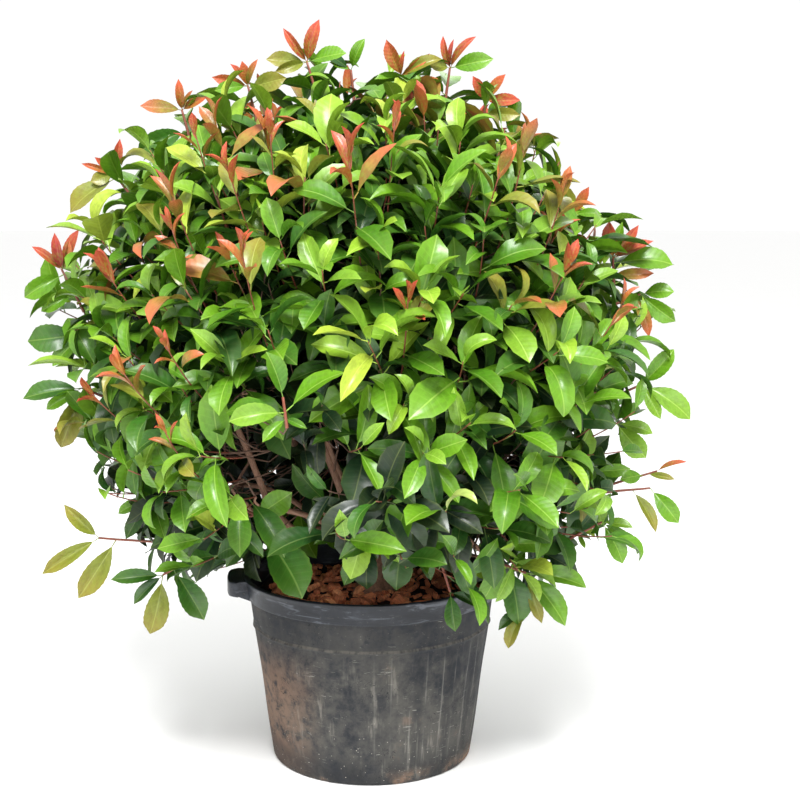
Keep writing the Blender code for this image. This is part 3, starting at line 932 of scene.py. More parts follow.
def lug_parts(side):
    """A grip tab beside the rim, with a lip turned down at its outer edge and a web at each end."""
    section = lug_section()
    count = len(section)
    middle = LUG_TURN + (math.pi if side < 0 else 0.0)
    rows = []
    for number in range(LUG_STEPS + 1):
        share = 2 * number / LUG_STEPS - 1
        beyond = max(0.0, abs(share) - LUG_CORNER_FROM)
        draw = LUG_CORNER * beyond**1.5 / (1 - LUG_CORNER_FROM) ** 1.5
        outline = [(r - draw * (r > RIM_RADIUS + 0.01), h) for r, h in section]
        rows.append(turned_to(middle + LUG_HALF_TURN * share, outline))
    faces = grid_faces(LUG_STEPS + 1, count, True)
    if side < 0:
        faces = faces[:, ::-1]
    caps = []
    for end, flip in ((0, 1), (LUG_STEPS, -1)):
        ring = np.arange(count) + end * count
        for k in range(count // 2 - 1):
            caps.append([ring[k], ring[k + 1], ring[-k - 2], ring[-k - 1]][::flip])
    caps = np.array(caps)
    body = Part(np.array(rows).reshape(-1, 3), faces, plain_spots(faces), 0)
    return [body, more_faces(body, caps, plain_spots(caps)), *lug_webs(middle)]


def plastic_surface():
    """Weathered black plastic: a smooth rim band, a dusty wall, stains, scuffs and specks, with painted
    shade and painted highlights in the flutes, painted shade at the foot and below the band, and painted
    sheen on the band.
    """
    looks = bpy.context.scene.pot_looks
    surface = Surface("weathered_plastic")
    place = surface.place()
    x, y, z = surface.parts(place)
    on_wall = z.fall(BAND_FOOT - 0.004, BAND_FOOT + 0.001)
    on_band = 1 - on_wall
    clouds = surface.noise(place, 8.0, 5.0, 0.62)
    mottle = surface.noise(place, 52.0, 6.0, 0.70)
    streaks = surface.noise(surface.stretched(place, 85, 85, 7), 1.0, 4.0, 0.6)
    grain = surface.noise(place, 420.0, 2.0, 0.6)
    turn = surface.node("ShaderNodeMath", {"operation": "ARCTAN2"}, [y, x])
    groove = (turn * looks.flutes + FLUTE_PHASE).cosine() * -1.0
    fluted = z.rise(0.02, 0.05) * z.fall(RIDGE_HEIGHT - 0.02, RIDGE_HEIGHT)
    dusty = (clouds * 0.55 + mottle * 0.45 + z * -0.25 + 0.04).rise(0.38, 0.62)
    worn = (dusty * 0.80 + streaks.rise(0.50, 0.74) * 0.16) * on_wall
    colour = surface.mix(looks.plastic, scaled(looks.worn, 0.80), worn.at_most(1.0))
    chalk = streaks.rise(0.56, 0.70) * clouds.rise(0.40, 0.60) * z.fall(0.16, 0.24)
    colour = surface.mix(colour, linear(146, 142, 132), chalk * 0.28)
    # Painted shade in the flute grooves and painted highlights on the flute ridges, on the +X side of the
    # pot only
    painted_flute_shade = groove.rise(0.35, 1.0) * fluted * x.rise(-0.05, 0.10)
    colour = surface.mix(colour, scaled(looks.plastic, 0.8), painted_flute_shade * 0.40)
    painted_flute_highlight = (abs(groove - 0.15) * -1.0).rise(-0.22, 0.0) * fluted * streaks.rise(0.40, 0.60)
    colour = surface.mix(colour, linear(134, 132, 126), painted_flute_highlight * x.rise(-0.05, 0.08) * 0.30)
    left = (x * -1.0 + y * -0.25).rise(0.105, 0.185) * z.fall(0.13, 0.23)
    low = z.fall(0.006, 0.030) * clouds.rise(0.46, 0.58)
    stain = (left * mottle.rise(0.32, 0.56) * 0.62).at_least(low * mottle.rise(0.38, 0.52) * 0.7)
    stain = stain.at_least(clouds.rise(0.60, 0.72) * mottle.rise(0.45, 0.60) * 0.35)
    colour = surface.mix(colour, looks.stain, stain * on_wall)
    # Painted shade: plastic darker than clean plastic at the foot and below the rim band, broken up by the
    # mottle
    foot = z.fall(0.020, 0.060) * (1 - low) * mottle.rise(0.40, 0.54)
    painted_band_shade = z.rise(RIDGE_HEIGHT - 0.03, RIDGE_HEIGHT + 0.02) * mottle.rise(0.42, 0.58)
    colour = surface.mix(colour, scaled(looks.plastic, 0.7), (foot * 0.65 + painted_band_shade * 0.45) * on_wall)
    curls = surface.noise(place, 46.0, 1.0, 0.5, 2.6)
    curl = abs(curls - 0.5).fall(0.004, 0.014) * surface.noise(place, 21.0, 1.0).rise(0.58, 0.62)
    colour = surface.mix(colour, scaled(looks.plastic, 0.5), curl * on_wall * 0.9)
    ridge = abs(z - (RIDGE_HEIGHT + 0.002)).fall(0.0, 0.0035) * streaks.rise(0.36, 0.60)
    colour = surface.mix(colour, linear(128, 122, 112), ridge * 0.35)
    scratches = surface.noise(surface.stretched(place, 26, 26, 210), 1.0, 3.0, 0.7, 1.4)
    scratch = scratches.rise(0.655, 0.68) * clouds.rise(0.40, 0.56)
    colour = surface.mix(colour, linear(150, 148, 140), scratch * 0.4)
    dots = surface.cells(place, 170.0).fall(0.10, 0.17) * surface.noise(place, 60.0).rise(0.50, 0.58)
    colour = surface.mix(colour, linear(176, 170, 160), dots * (z.fall(0.03, 0.13) * 0.7 + 0.1))
    # On the rim band: lighter bluish patches and streaks, which are partly dust and partly painted sheen,
    # and darker smears, which are scuffs
    band_dust_and_sheen = clouds.rise(0.42, 0.62) * mottle.rise(0.35, 0.60) * on_band
    colour = surface.mix(colour, linear(64, 68, 76), band_dust_and_sheen * 0.55)
    band_smears_and_sheen = surface.noise(surface.stretched(place, 16, 16, 90), 1.0, 4.0, 0.65, 0.6)
    colour = surface.mix(colour, linear(92, 96, 104), band_smears_and_sheen.rise(0.54, 0.66) * on_band * 0.55)
    colour = surface.mix(colour, scaled(looks.plastic, 0.55), band_smears_and_sheen.fall(0.36, 0.46) * on_band * 0.6)
    rough = 0.40 + 0.34 * on_wall + 0.12 * mottle
    height = mottle * 0.7 + grain * 0.25 + scratch * -0.4 + curl * -0.6
    surface.shader.inputs["Specular IOR Level"].default_value = 0.32
    return surface.finish(colour, rough, height, 0.45, 0.0009)


def compost_surface():
    looks = bpy.context.scene.pot_looks
    surface = Surface("compost")
    place = surface.place()
    crumbs = surface.cells(place, 260.0)
    clumps = surface.noise(place, 70.0, 5.0, 0.7)
    colour = surface.mix(scaled(looks.compost, 0.45), scaled(looks.compost, 1.5), clumps)
    fibre = surface.noise(surface.stretched(place, 300, 60, 60), 1.0, 3.0).rise(0.64, 0.70)
    colour = surface.mix(colour, scaled(looks.chip, 0.7), fibre * 0.7)
    return surface.finish(colour, 0.92, clumps + crumbs * 0.5, 0.9, 0.003)


def chip_surface(number):
    """Bark mulch in one of a few tones, with a grain that runs along each chip's UV."""
    looks = bpy.context.scene.pot_looks
    tone = CHIP_TONES[number]
    surface = Surface(f"chip_{number + 1}")
    spot = surface.spot()
    grain = surface.noise(surface.stretched(spot, 10, 90, 1), 1.0, 4.0, 0.6, 0.5)
    patch = surface.noise(spot, 16.0, 3.0)
    # The chip colour is painted light, lighter than the mulch itself
    base = scaled(looks.chip, tone)
    colour = surface.mix(scaled(base, 0.55), scaled(base, 1.25), grain.rise(0.3, 0.7))
    grey = linear(120, 104, 92)
    colour = surface.mix(colour, grey, patch.rise(0.55, 0.72) * 0.45)
    return surface.finish(colour, 0.80, grain + patch * 0.5, 0.7, 0.0012)


def make_pot():
    body = turned_part(pot_profile(), POT_SIDES, pot_shape)
    parts = [body, *lug_parts(-1), *lug_parts(1)]
    piece = joined_object("pot_shell", parts, [plastic_surface()])
    piece.data.set_sharp_from_angle(angle=math.radians(50))
    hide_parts("pot", "pot_lug_left", "pot_lug_right")
    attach(piece, "root")


def soil_height(x, y):
    """Height of the uneven compost."""
    return SOIL_TOP - 0.003 + 0.005 * noise.fractal(Vector((x, y, 0.3)) * 26, 1.0, 2.0, 4)


def make_compost():
    """An uneven round of compost, closed below."""
    rings, sides = 46, 120
    rows = []
    for ring in range(1, rings + 1):
        radius = SOIL_RADIUS * ring / rings
        row = []
        for side in range(sides):
            turn = math.tau * side / sides
            x, y = radius * math.cos(turn), radius * math.sin(turn)
            row.append((x, y, soil_height(x, y)))
        rows.append(row)
    rows.insert(0, [(0.0, 0.0, soil_height(0, 0))] * sides)
    for drop, draw in ((0.012, 0.002), (0.030, 0.004)):
        rows.append([(x * (1 - draw), y * (1 - draw), SOIL_TOP - drop) for x, y, _ in rows[rings]])
    points = np.array(rows).reshape(-1, 3)
    faces = grid_faces(len(rows), sides, True)
    spots = points[faces][:, :, :2] / (2.2 * SOIL_RADIUS) + 0.5
    piece = joined_object("compost", [Part(points, faces, spots, 0)], [compost_surface()])
    shape = bmesh.new()
    shape.from_mesh(piece.data)
    bmesh.ops.remove_doubles(shape, verts=shape.verts, dist=1e-6)
    shape.to_mesh(piece.data)
    shape.free()
    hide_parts("soil")
    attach(piece, "root")


def chip_part(rng, length):
    """One angular chip of bark lying flat about the origin: a broken plate, thicker inside."""
    corners = int(rng.integers(5, 8))
    turns = np.sort(rng.uniform(0, math.tau, corners) * 0.25 + np.arange(corners) * math.tau / corners)
    out = rng.uniform(0.62, 1.0, corners)
    width = rng.uniform(0.42, 0.75)
    half = 0.5 * length
    outline = np.stack([half * out * np.cos(turns), half * width * out * np.sin(turns)], 1)
    thick = length * rng.uniform(0.13, 0.30)
    tilt = rng.uniform(-0.12, 0.12, 2)
    rows = []
    for share, level in ((0.86, -0.5), (1.0, -0.25), (1.0, 0.20), (0.82, 0.5)):
        ring = outline * share * rng.uniform(0.94, 1.04, (corners, 1))
        lift = thick * level + ring @ tilt + rng.uniform(-0.07, 0.07, corners) * thick
        rows.append(np.column_stack([ring, lift]))
    middle_low = rows[0].mean(axis=0)
    middle_high = rows[-1].mean(axis=0) + (0, 0, 0.10 * thick)
    points = np.concatenate([*rows, [middle_low], [middle_high]])
    return points, corners


def make_chips():
    """Bark mulch: angular chips strewn over the compost in a few tones."""
    looks = bpy.context.scene.pot_looks
    rng = np.random.default_rng(5)
    parts = []
    for _ in range(CHIP_COUNT):
        length = looks.chip_length * rng.uniform(0.45, 1.25)
        points, corners = chip_part(rng, length)
        radius = (SOIL_RADIUS - 0.35 * length - 0.003) * math.sqrt(rng.uniform(0.01, 1.0))
        turn = rng.uniform(0, math.tau)
        x, y = radius * math.cos(turn), radius * math.sin(turn)
        layer = rng.uniform(0.001, CHIP_LAYER)
        lean = rng.uniform(-0.5, 0.5, 2) * (0.4 + layer / CHIP_LAYER)
        spin = Matrix.Rotation(rng.uniform(0, math.tau), 3, "Z")
        pose = np.array(Matrix.Rotation(lean[0], 3, "X") @ Matrix.Rotation(lean[1], 3, "Y") @ spin)
        placed = points @ pose.T + (x, y, soil_height(x, y) + layer)
        quads = grid_faces(4, corners, True)
        ring = np.arange(corners)
        after = (ring + 1) % corners
        top = 3 * corners
        low = np.stack([after, ring, np.full(corners, 4 * corners)], 1)
        high = np.stack([top + ring, top + after, np.full(corners, 4 * corners + 1)], 1)
        tone = int(rng.choice(len(CHIP_TONES), p=CHIP_SHARES))
        spots = points[:, :2] / looks.chip_length * 0.3 + (0.5, 0.5)
        body = Part(placed, quads, spots[quads], tone)
        parts += [body, more_faces(body, low, spots[low], tone), more_faces(body, high, spots[high], tone)]
    piece = joined_object("bark_mulch", parts, [chip_surface(k) for k in range(len(CHIP_TONES))])
    piece.data.set_sharp_from_angle(angle=math.radians(28))
    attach(piece, "root")


def facing(turn, distance, height):
    """A point by its turn in degrees from the front (-Y) towards -X."""
    angle = math.radians(turn)
    x = CROWN_CENTRE.x - distance * math.sin(angle)
    return Vector((x, CROWN_CENTRE.y - distance * math.cos(angle), height))


def mass_seeds():
    """Name, ring and seed point of every mass of leaves, from the top down."""
    seeds = []
    for ring, count, height, distance, first in RINGS:
        for number in range(count):
            turn = first + 360.0 * number / count
            uneven = SEED_SHIFT * math.sin(2.4 * number + 9 * height)
            name = f"foliage_{ring}" if count == 1 else f"foliage_{ring}_{number + 1}"
            seeds.append((name, ring, facing(turn, distance, height + uneven)))
    return seeds


def doors(seeds):
    """Where the limb of each mass leaves the heart: the place deepest in the mass's own share."""
    shape = bmesh.new()
    bmesh.ops.create_icosphere(shape, subdivisions=DOOR_DETAIL, radius=1.0)
    stretch = Vector((HEART_RADIUS, HEART_RADIUS, HEART_HALF_HEIGHT))
    points = np.array([HEART_CENTRE + vertex.co * stretch for vertex in shape.verts])
    shape.free()
    away = np.array([np.linalg.norm(points - np.array(seed), axis=1) for _, _, seed in seeds])
    found = {}
    for index, (name, _, _) in enumerate(seeds):
        others = np.delete(away, index, axis=0).min(axis=0)
        found[name] = Vector(points[(others - away[index]).argmax()])
    return found


def hermite(start, leave, end, arrive, share):
    """A point on the curve between two ends with the given directions there."""
    a = 2 * share**3 - 3 * share**2 + 1
    b = share**3 - 2 * share**2 + share
    c = 3 * share**2 - 2 * share**3
    d = share**3 - share**2
    return start * a + leave * b + end * c + arrive * d


def limb_route(start, leave, end, arrive):
    """Points of a limb's middle line, with the small bends of a grown stem."""
    length = (end - start).length
    side = (end - start).cross(UP).normalized()
    points = []
    for step in range(LIMB_STEPS + 1):
        share = step / LIMB_STEPS
        point = hermite(start, leave, end, arrive, share)
        phase = 1.3 * share + 7 * end.x + 5 * end.y
        sway = LIMB_SWAY * length * math.sin(math.tau * phase)
        points.append(point + side * sway * math.sin(math.pi * share))
    return points


def flat(vector):
    return Vector((vector.x, vector.y, 0.0))


Limb = namedtuple("Limb", "name ring seed route thick")


def all_limbs():
    """The limbs of the solids: a main one to the top and to each middle mass, side ones after."""
    seeds = mass_seeds()
    entries = doors(seeds)
    ends = {name: entries[name] + (seed - entries[name]).normalized() * LIMB_SINK
            for name, _, seed in seeds}
    fork = Vector((0, 0, SOIL_TOP + FORK_SHARE * STOOL_HEIGHT)) + STOOL_LEAN
    limbs = []
    for name, ring, seed in seeds:
        if ring in SIDE_STARTS:
            continue
        end = ends[name]
        outward = flat(end - fork)
        reach = (end - fork).length
        spread = min(1.0, outward.length / UPRIGHT_WITHIN)
        leave = (outward.normalized() * 1.1 * spread + UP * 0.85) * reach
        arrive = ((seed - end).normalized() * 0.9 + UP * 0.12) * reach
        limbs.append(Limb(name, ring, seed, limb_route(fork, leave, end, arrive), MAIN_RADIUS))
    mains = [limb for limb in limbs if limb.ring == "middle"]
    for name, ring, seed in seeds:
        if ring not in SIDE_STARTS:
            continue
        end = ends[name]
        heading = flat(end).normalized()
        carrier = min(mains, key=lambda main: flat(main.route[-1]).normalized().angle(heading)).route
        step = round(SIDE_STARTS[ring] * LIMB_STEPS)
        start = carrier[step]
        along = (carrier[step + 1] - start).normalized()
        reach = (end - start).length
        leave = (along * 0.4 + (end - start).normalized() * 0.8) * reach
        arrive = (seed - end).normalized() * 0.8 * reach
        limbs.append(Limb(name, ring, seed, limb_route(start, leave, end, arrive), SIDE_RADIUS))
    return limbs


def bark_relief(point, out, radius, along):
    """Height of the bark's relief: ridges that run along the stem, and finer grain on them."""
    ridges = noise.noise(Vector((out.x * 2.2, out.y * 2.2, along * 30)) + point * 3)
    return ridges + 0.6 * noise.noise((point + out * radius) * 300)


def tube_part(points, radii, sides, relief=0.0, tone=0):
    """A stem along points. Its UV runs round it and to and fro along it."""
    count = len(points)
    rows = []
    along = [0.0]
    for before, after in zip(points, points[1:]):
        along.append(along[-1] + (after - before).length)
    tangent = (points[1] - points[0]).normalized()
    side = tangent.orthogonal().normalized()
    for number, point in enumerate(points):
        ahead = points[min(number + 1, count - 1)] - points[max(number - 1, 0)]
        if ahead.length > 1e-9:
            tangent = ahead.normalized()
        side = (side - tangent * side.dot(tangent)).normalized()
        over = tangent.cross(side)
        radius = radii[number]
        row = []
        for corner in range(sides):
            turn = math.tau * corner / sides
            out = side * math.cos(turn) + over * math.sin(turn)
            bump = relief * bark_relief(point, out, radius, along[number]) if relief else 0.0
            row.append(point + out * radius * (1 + bump))
        rows.append(row)
    faces = grid_faces(count, sides, True)
    to_and_fro = np.abs((np.array(along) / GRAIN_LENGTH + 1) % 2 - 1)
    spots = wrapped_spots(faces, sides, to_and_fro)
    return Part(np.array(rows).reshape(-1, 3), faces, spots, tone)


def capped(part, sides):
    """The part with its last ring drawn to a closing fan."""
    last = len(part.points) - sides
    tip = part.points[last:].mean(axis=0)
    ring = np.arange(sides)
    fan = np.stack([last + ring, last + (ring + 1) % sides, np.full(sides, last + sides)], 1)
    body = part._replace(points=np.vstack([part.points, tip]))
    return [body, more_faces(body, fan, plain_spots(fan), part.tone)]


def trunk_part():
    """The root crown with its root swellings, in fine relief."""
    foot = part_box("trunk")[0].z
    shares, widths = zip(*STOOL_PROFILE)
    profile = []
    for height in np.linspace(0, 1, 34):
        profile.append((STOOL_RADIUS * np.interp(height, shares, widths), foot + STOOL_HEIGHT * height))
    profile.append((0.0, foot + STOOL_DOME * STOOL_HEIGHT))
    part = turned_part(profile, 48)
    for point in part.points:
        share = (point[2] - foot) / STOOL_HEIGHT
        around = math.atan2(point[1], point[0])
        swell = 1 + ROOT_SWELL * math.cos(ROOT_LOBES * around) * max(0.0, 1 - share / ROOT_RISE)
        ridge = noise.noise(Vector((math.cos(around) * 3, math.sin(around) * 3, point[2] * 40)))
        swell *= 1 + 0.05 * ridge
        point[0] = point[0] * swell + STOOL_LEAN.x * share
        point[1] = point[1] * swell + STOOL_LEAN.y * share
    return part


def bark_surface(name, colour, roughness=0.78):
    """Bark with fine lengthwise grain, paler scars across and darker patches."""
    surface = Surface(name)
    spot = surface.spot()
    grain = surface.noise(surface.stretched(spot, 6, 3, 1), 4.0, 5.0, 0.65, 0.3)
    streak = surface.noise(surface.stretched(spot, 9, 34, 1), 1.0, 3.0, 0.6)
    patch = surface.noise(spot, 3.0, 3.0, 0.6)
    tone = surface.mix(scaled(colour, 0.60), scaled(colour, 1.22), grain.rise(0.32, 0.68))
    pale = blended(colour, linear(176, 166, 152), 0.6)
    tone = surface.mix(tone, pale, patch.rise(0.52, 0.70) * 0.5)
    scars = streak.rise(0.62, 0.68)
    tone = surface.mix(tone, scaled(colour, 0.42), scars * 0.6)
    return surface.finish(tone, roughness, grain + scars * -0.5, 0.6, 0.0008)


def named_stems(limbs):
    """The stems that show in the openings. Each springs from the limb seen nearest to it."""
    stems = []
    for name, (pixels, front, thick) in STEMS.items():
        places = [(limb, point) for limb in limbs for point in limb.route[4:]]
        seen = seen_at([point for _, point in places])
        far = np.hypot(*(seen - np.array(pixels[0])).T)
        behind = np.array([max(0.0, point.y) for _, point in places])
        carrier, start = places[int((far + PIXELS_BEHIND * behind).argmin())]
        marks = [start]
        for number, pixel in enumerate(pixels[1:], 1):
            share = number / (len(pixels) - 1)
            marks.append(on_plane(pixel, -start.y + (front + start.y) * share))
        route = []
        for number in range(len(marks) - 1):
            before, after = marks[max(0, number - 1)], marks[min(len(marks) - 1, number + 2)]
            here, there = marks[number], marks[number + 1]
            leave, arrive = (there - before) * 0.5, (after - here) * 0.5
            steps = range(STEM_STEPS)
            route += [hermite(here, leave, there, arrive, k / STEM_STEPS) for k in steps]
        route.append(marks[-1])
        aim = marks[-1] + (marks[-1] - marks[-2]).normalized() * 0.10
        stems.append(Limb(name, carrier.ring, aim, route, thick))
    return stems


class Envelope:
    """The crown's solids as one search tree, for its outline and for lines of sight."""

    def __init__(self):
        points, faces = [], []
        for name, thing in sorted(frame["nodes"].items()):
            if name.startswith("foliage"):
                start = len(points)
                points += [vertex.co.copy() for vertex in thing.data.vertices]
                faces += [[start + k for k in face.vertices] for face in thing.data.polygons]
        self.tree = BVHTree.FromPolygons(points, faces)

    def reach(self, direction):
        """Distance from the crown's middle to its outside, across the gaps between masses."""
        best = 0.0
        side = direction.orthogonal().normalized()
        over = direction.cross(side)
        for across, along in ((0, 0), (0.07, 0), (-0.07, 0), (0, 0.07), (0, -0.07)):
            ray = (direction + side * across + over * along).normalized()
            hit = self.tree.ray_cast(CROWN_CENTRE + ray * 1.2, -ray)[0]
            if hit is not None:
                best = max(best, (hit - CROWN_CENTRE).length)
        return best


def sight(pixel):
    """Unit direction in which the camera sees a pixel."""
    right = (pixel[0] - PHOTO_SIZE / 2) / FOCAL
    down = (pixel[1] - PHOTO_SIZE / 2) / FOCAL
    forward = Vector((0, math.cos(CAMERA_PITCH), -math.sin(CAMERA_PITCH)))
    upward = Vector((0, math.sin(CAMERA_PITCH), math.cos(CAMERA_PITCH)))
    return (forward + Vector((right, 0, 0)) - upward * down).normalized()


def seen_at(points):
    """Pixels at which the camera sees points, as an array."""
    away = np.asarray(points) - np.array(CAMERA_PLACE)
    sine, cosine = math.sin(CAMERA_PITCH), math.cos(CAMERA_PITCH)
    forward = away[..., 1] * cosine - away[..., 2] * sine
    upward = away[..., 2] * cosine + away[..., 1] * sine
    x = PHOTO_SIZE / 2 + FOCAL * away[..., 0] / forward
    y = PHOTO_SIZE / 2 - FOCAL * upward / forward
    return np.stack([x, y], axis=-1)


def in_openings(points, openings):
    """Which points the camera sees inside any of the named openings."""
    pixels = seen_at(points)
    inside = np.zeros(len(pixels), bool)
    for (x, y), half_wide, half_high in openings.values():
        across = (pixels[:, 0] - x) / half_wide
        down = (pixels[:, 1] - y) / half_high
        inside |= across**2 + down**2 < 1
    return inside


def on_plane(pixel, front):
    """The point seen at a pixel, at a distance in front of the pot's axis."""
    ray = sight(pixel)
    return CAMERA_PLACE + ray * ((-front - CAMERA_PLACE.y) / ray.y)


def on_crown(envelope, pixel, sink):
    """The point seen at a pixel, sunk into the crown's front, or level with the axis past it."""
    ray = sight(pixel)
    hit = envelope.tree.ray_cast(CAMERA_PLACE, ray)[0]
    if hit is None:
        return on_plane(pixel, 0.02)
    steep = (hit - CROWN_CENTRE).normalized()
    grazing = min(1.0, max(0.25, -steep.dot(ray)))
    return hit + ray * (sink / grazing)


Leaf = namedtuple("Leaf", "place along normal length width tone form detail named")


class Shoot:
    """A leafy shoot: where its tip is, which way it heads, and what it bears."""

    def __init__(self, tip, heading, length, kind, size, leaves, depth):
        self.tip = tip
        self.heading = heading
        self.length = length
        self.kind = kind
        self.size = size
        self.leaves = leaves
        self.depth = depth
        self.light = LADDER.index(kind) + 0.3 if kind in LADDER else 6.0
        self.named = False
        self.placed = []
        self.borne = []
        self.ring = None
        self.start = None
        self.leaving = None

    def set_base(self, outward):
        """Its base lies behind and a little below the tip, so that the shoot bends up."""
        self.leaving = (self.heading * 0.55 + outward * 0.65 - UP * 0.12).normalized()
        middle = (self.heading + self.leaving).normalized()
        self.start = self.tip - middle * self.length

    def axis(self, share):
        """A point along the leafy axis, 0 at the base and 1 at the tip."""
        leave, arrive = self.leaving * self.length, self.heading * self.length
        return hermite(self.start, leave, self.tip, arrive, share)

    def direction(self, share):
        return (self.axis(min(1.0, share + 0.03)) - self.axis(share - 0.03)).normalized()


def unit_draw(rng):
    """A random direction."""
    rise = rng.uniform(-1, 1)
    turn = rng.uniform(0, math.tau)
    across = math.sqrt(1 - rise * rise)
    return Vector((across * math.cos(turn), across * math.sin(turn), rise))


def outward_at(point):
    """Away from the low middle of the crown, from which shoots fan out."""
    return (point - FAN_CENTRE).normalized()


def heading_at(point, rng, lift, loose=0.30):
    return (outward_at(point) * 0.85 + UP * lift + unit_draw(rng) * loose).normalized()


# Sprays laid leaf by leaf: how steeply a twig must rise to bear further leaves, the stretch of
# it that bears leaves, how far in front of it leaf tips lie, and a leaf's reach in blades
UPRIGHT = 0.55
LEAFY_FROM = 0.3
TIP_FORWARD = 0.02
STALK_AND_BLADE = 1.08
SHOOT_LEAVES = 9
NAMED_DEPTH = 0.02
# Named groups: how deep their tips are sunk, how much they rise, length in shoot lengths
NAMED_GROUPS = (
    (RED_TUFTS, -0.002, 0.95, 1.35),
    (GREEN_SPRAYS, 0.030, 0.25, 0.90),
    (EDGE_SPRAYS, 0.012, 0.35, 1.00),
)


def open_spray(rng, base, tip, front, tips):
    """A twig between two pixels, with every leaf laid from the twig to the pixel of its tip."""
    start, end = on_plane(base, front), on_plane(tip, front)
    heading = (end - start).normalized()
    leaves = SHOOT_LEAVES if heading.z > UPRIGHT else 0
    shoot = Shoot(end, heading, (end - start).length, "green", 0.95, leaves, 0.0)
    shoot.light = crown_light(end, 0.05)
    shoot.start = start
    shoot.leaving = (heading + UP * 0.15).normalized()
    along_axis = [shoot.axis(share) for share in np.linspace(LEAFY_FROM, 1.0, 15)]
    seen = seen_at(along_axis)
    for pixel, tone, wide, *root in tips:
        nearest = root[0] if root else pixel
        place = along_axis[int(np.hypot(*(seen - nearest).T).argmin())]
        span = on_plane(pixel, front + TIP_FORWARD) - place
        toward = (CAMERA_PLACE - place).normalized() + UP * 0.35 + unit_draw(rng) * 0.45
        along = span.normalized()
        normal = (toward - along * toward.dot(along)).normalized()
        length = span.length / STALK_AND_BLADE
        form = "young" if tone in RED_KINDS else "grown"
        shoot.placed.append(Leaf(place, along, normal, length, wide, tone, form, "placed", True))
    return shoot


def named_shoots(rng, envelope):
    """The shoots that the photograph shows at known places."""
    crown = bpy.context.scene.crown_looks
    shoots = [open_spray(rng, *spray) for spray in OPEN_SPRAYS.values()]
    for group, sink, lift, stretch in NAMED_GROUPS:
        for pixel, kind, size in group.values():
            tip = on_crown(envelope, pixel, sink)
            heading = heading_at(tip, rng, lift, 0.16)
            length = crown.shoot_length * stretch
            shoot = Shoot(tip, heading, length, kind, size, SHOOT_LEAVES, NAMED_DEPTH)
            shoot.set_base(outward_at(tip))
            shoot.named = group is RED_TUFTS
            shoots.append(shoot)
    return shoots


# Least distance of a strewn shoot from a tuft or open spray, and from the pot below a height
TUFT_ROOM = 0.075
POT_ROOM = 0.041
POT_ROOM_BELOW = 0.36
# Share of the heart, the hollow in which the limbs fork, that is kept free of shoots
HEART_SHARE = 0.8
# Depths down to which shoots are young, leaves have full detail and shoots bear more leaves
YOUNG_DEPTH = 0.10
DETAIL_DEPTH = 0.11
LEAFY_DEPTH = 0.125
# Steps on the ladder of tones, which paint light and shade: at the outside half-way up, lost
# for each metre of depth, gained at the top and lost at the foot
LIGHT_OUTSIDE = 8.7
LIGHT_LOST = 46
LIGHT_TOP = 0.9
LIGHT_FOOT = 2.6
# Layers of shoots: least and greatest depth of their tips, spacing factor, darts thrown
LAYERS = (
    (0.040, 0.070, 1.16, 9000),
    (0.070, 0.125, 1.00, 9000),
    (0.125, 0.190, 1.02, 8000),
    (0.190, 0.260, 1.15, 6000),
    (0.260, 0.340, 1.40, 4000),
)


def height_share(point):
    """-1 at the crown's foot, 0 at half its height, 1 at its top."""
    return max(-1.0, min(1.0, (point.z - HALF_WAY_UP) / HALF_TALL))


def crown_light(point, depth):
    """Where on the ladder of tones a shoot's leaves are: painted light and shade, darker inside and
    towards the foot.
    """
    height = height_share(point)
    return LIGHT_OUTSIDE - LIGHT_LOST * depth + (LIGHT_TOP if height > 0 else LIGHT_FOOT) * height


def shaded(point):
    """Steps down the ladder of tones for a point in a shaded part of the front."""
    x, y = seen_at([point])[0]
    steps = 0.0
    for (middle_x, middle_y), half_wide, half_high, drop in SHADED.values():
        away = math.hypot((x - middle_x) / half_wide, (y - middle_y) / half_high)
        steps = max(steps, drop * min(1.0, max(0.0, 1.5 * (1.0 - away))))
    return steps if point.y < 0.05 else 0.0


def young_kind(rng, tip, depth):
    """What a shoot's youngest leaves are like, by its place in the crown."""
    if depth > YOUNG_DEPTH:
        return "green"
    rise = max(0.0, height_share(tip))
    behind = tip.y > 0.12
    draw = rng.uniform()
    if draw < (0.50 if behind else 0.16) * rise:
        return str(rng.choice(RED_KINDS[:3], p=(0.40, 0.30, 0.30)))
    if draw > 0.97 - 0.36 * rise:
        return "olive"
    return "green"


def taken(tip):
    """Whether a shoot's tip would lie in the heart, beside the pot or in an opening."""
    away = tip - HEART_CENTRE
    out = math.hypot(away.x, away.y) / (HEART_RADIUS * HEART_SHARE)
    if math.hypot(out, away.z / (HEART_HALF_HEIGHT * HEART_SHARE)) < 1:
        return True
    if tip.z < POT_ROOM_BELOW and math.hypot(tip.x, tip.y) < RIM_RADIUS + POT_ROOM:
        return True
    if in_openings([tip], SKY_GAPS)[0]:
        return True
    return tip.y < WINDOW_BACK and in_openings([tip], STEM_WINDOWS)[0]


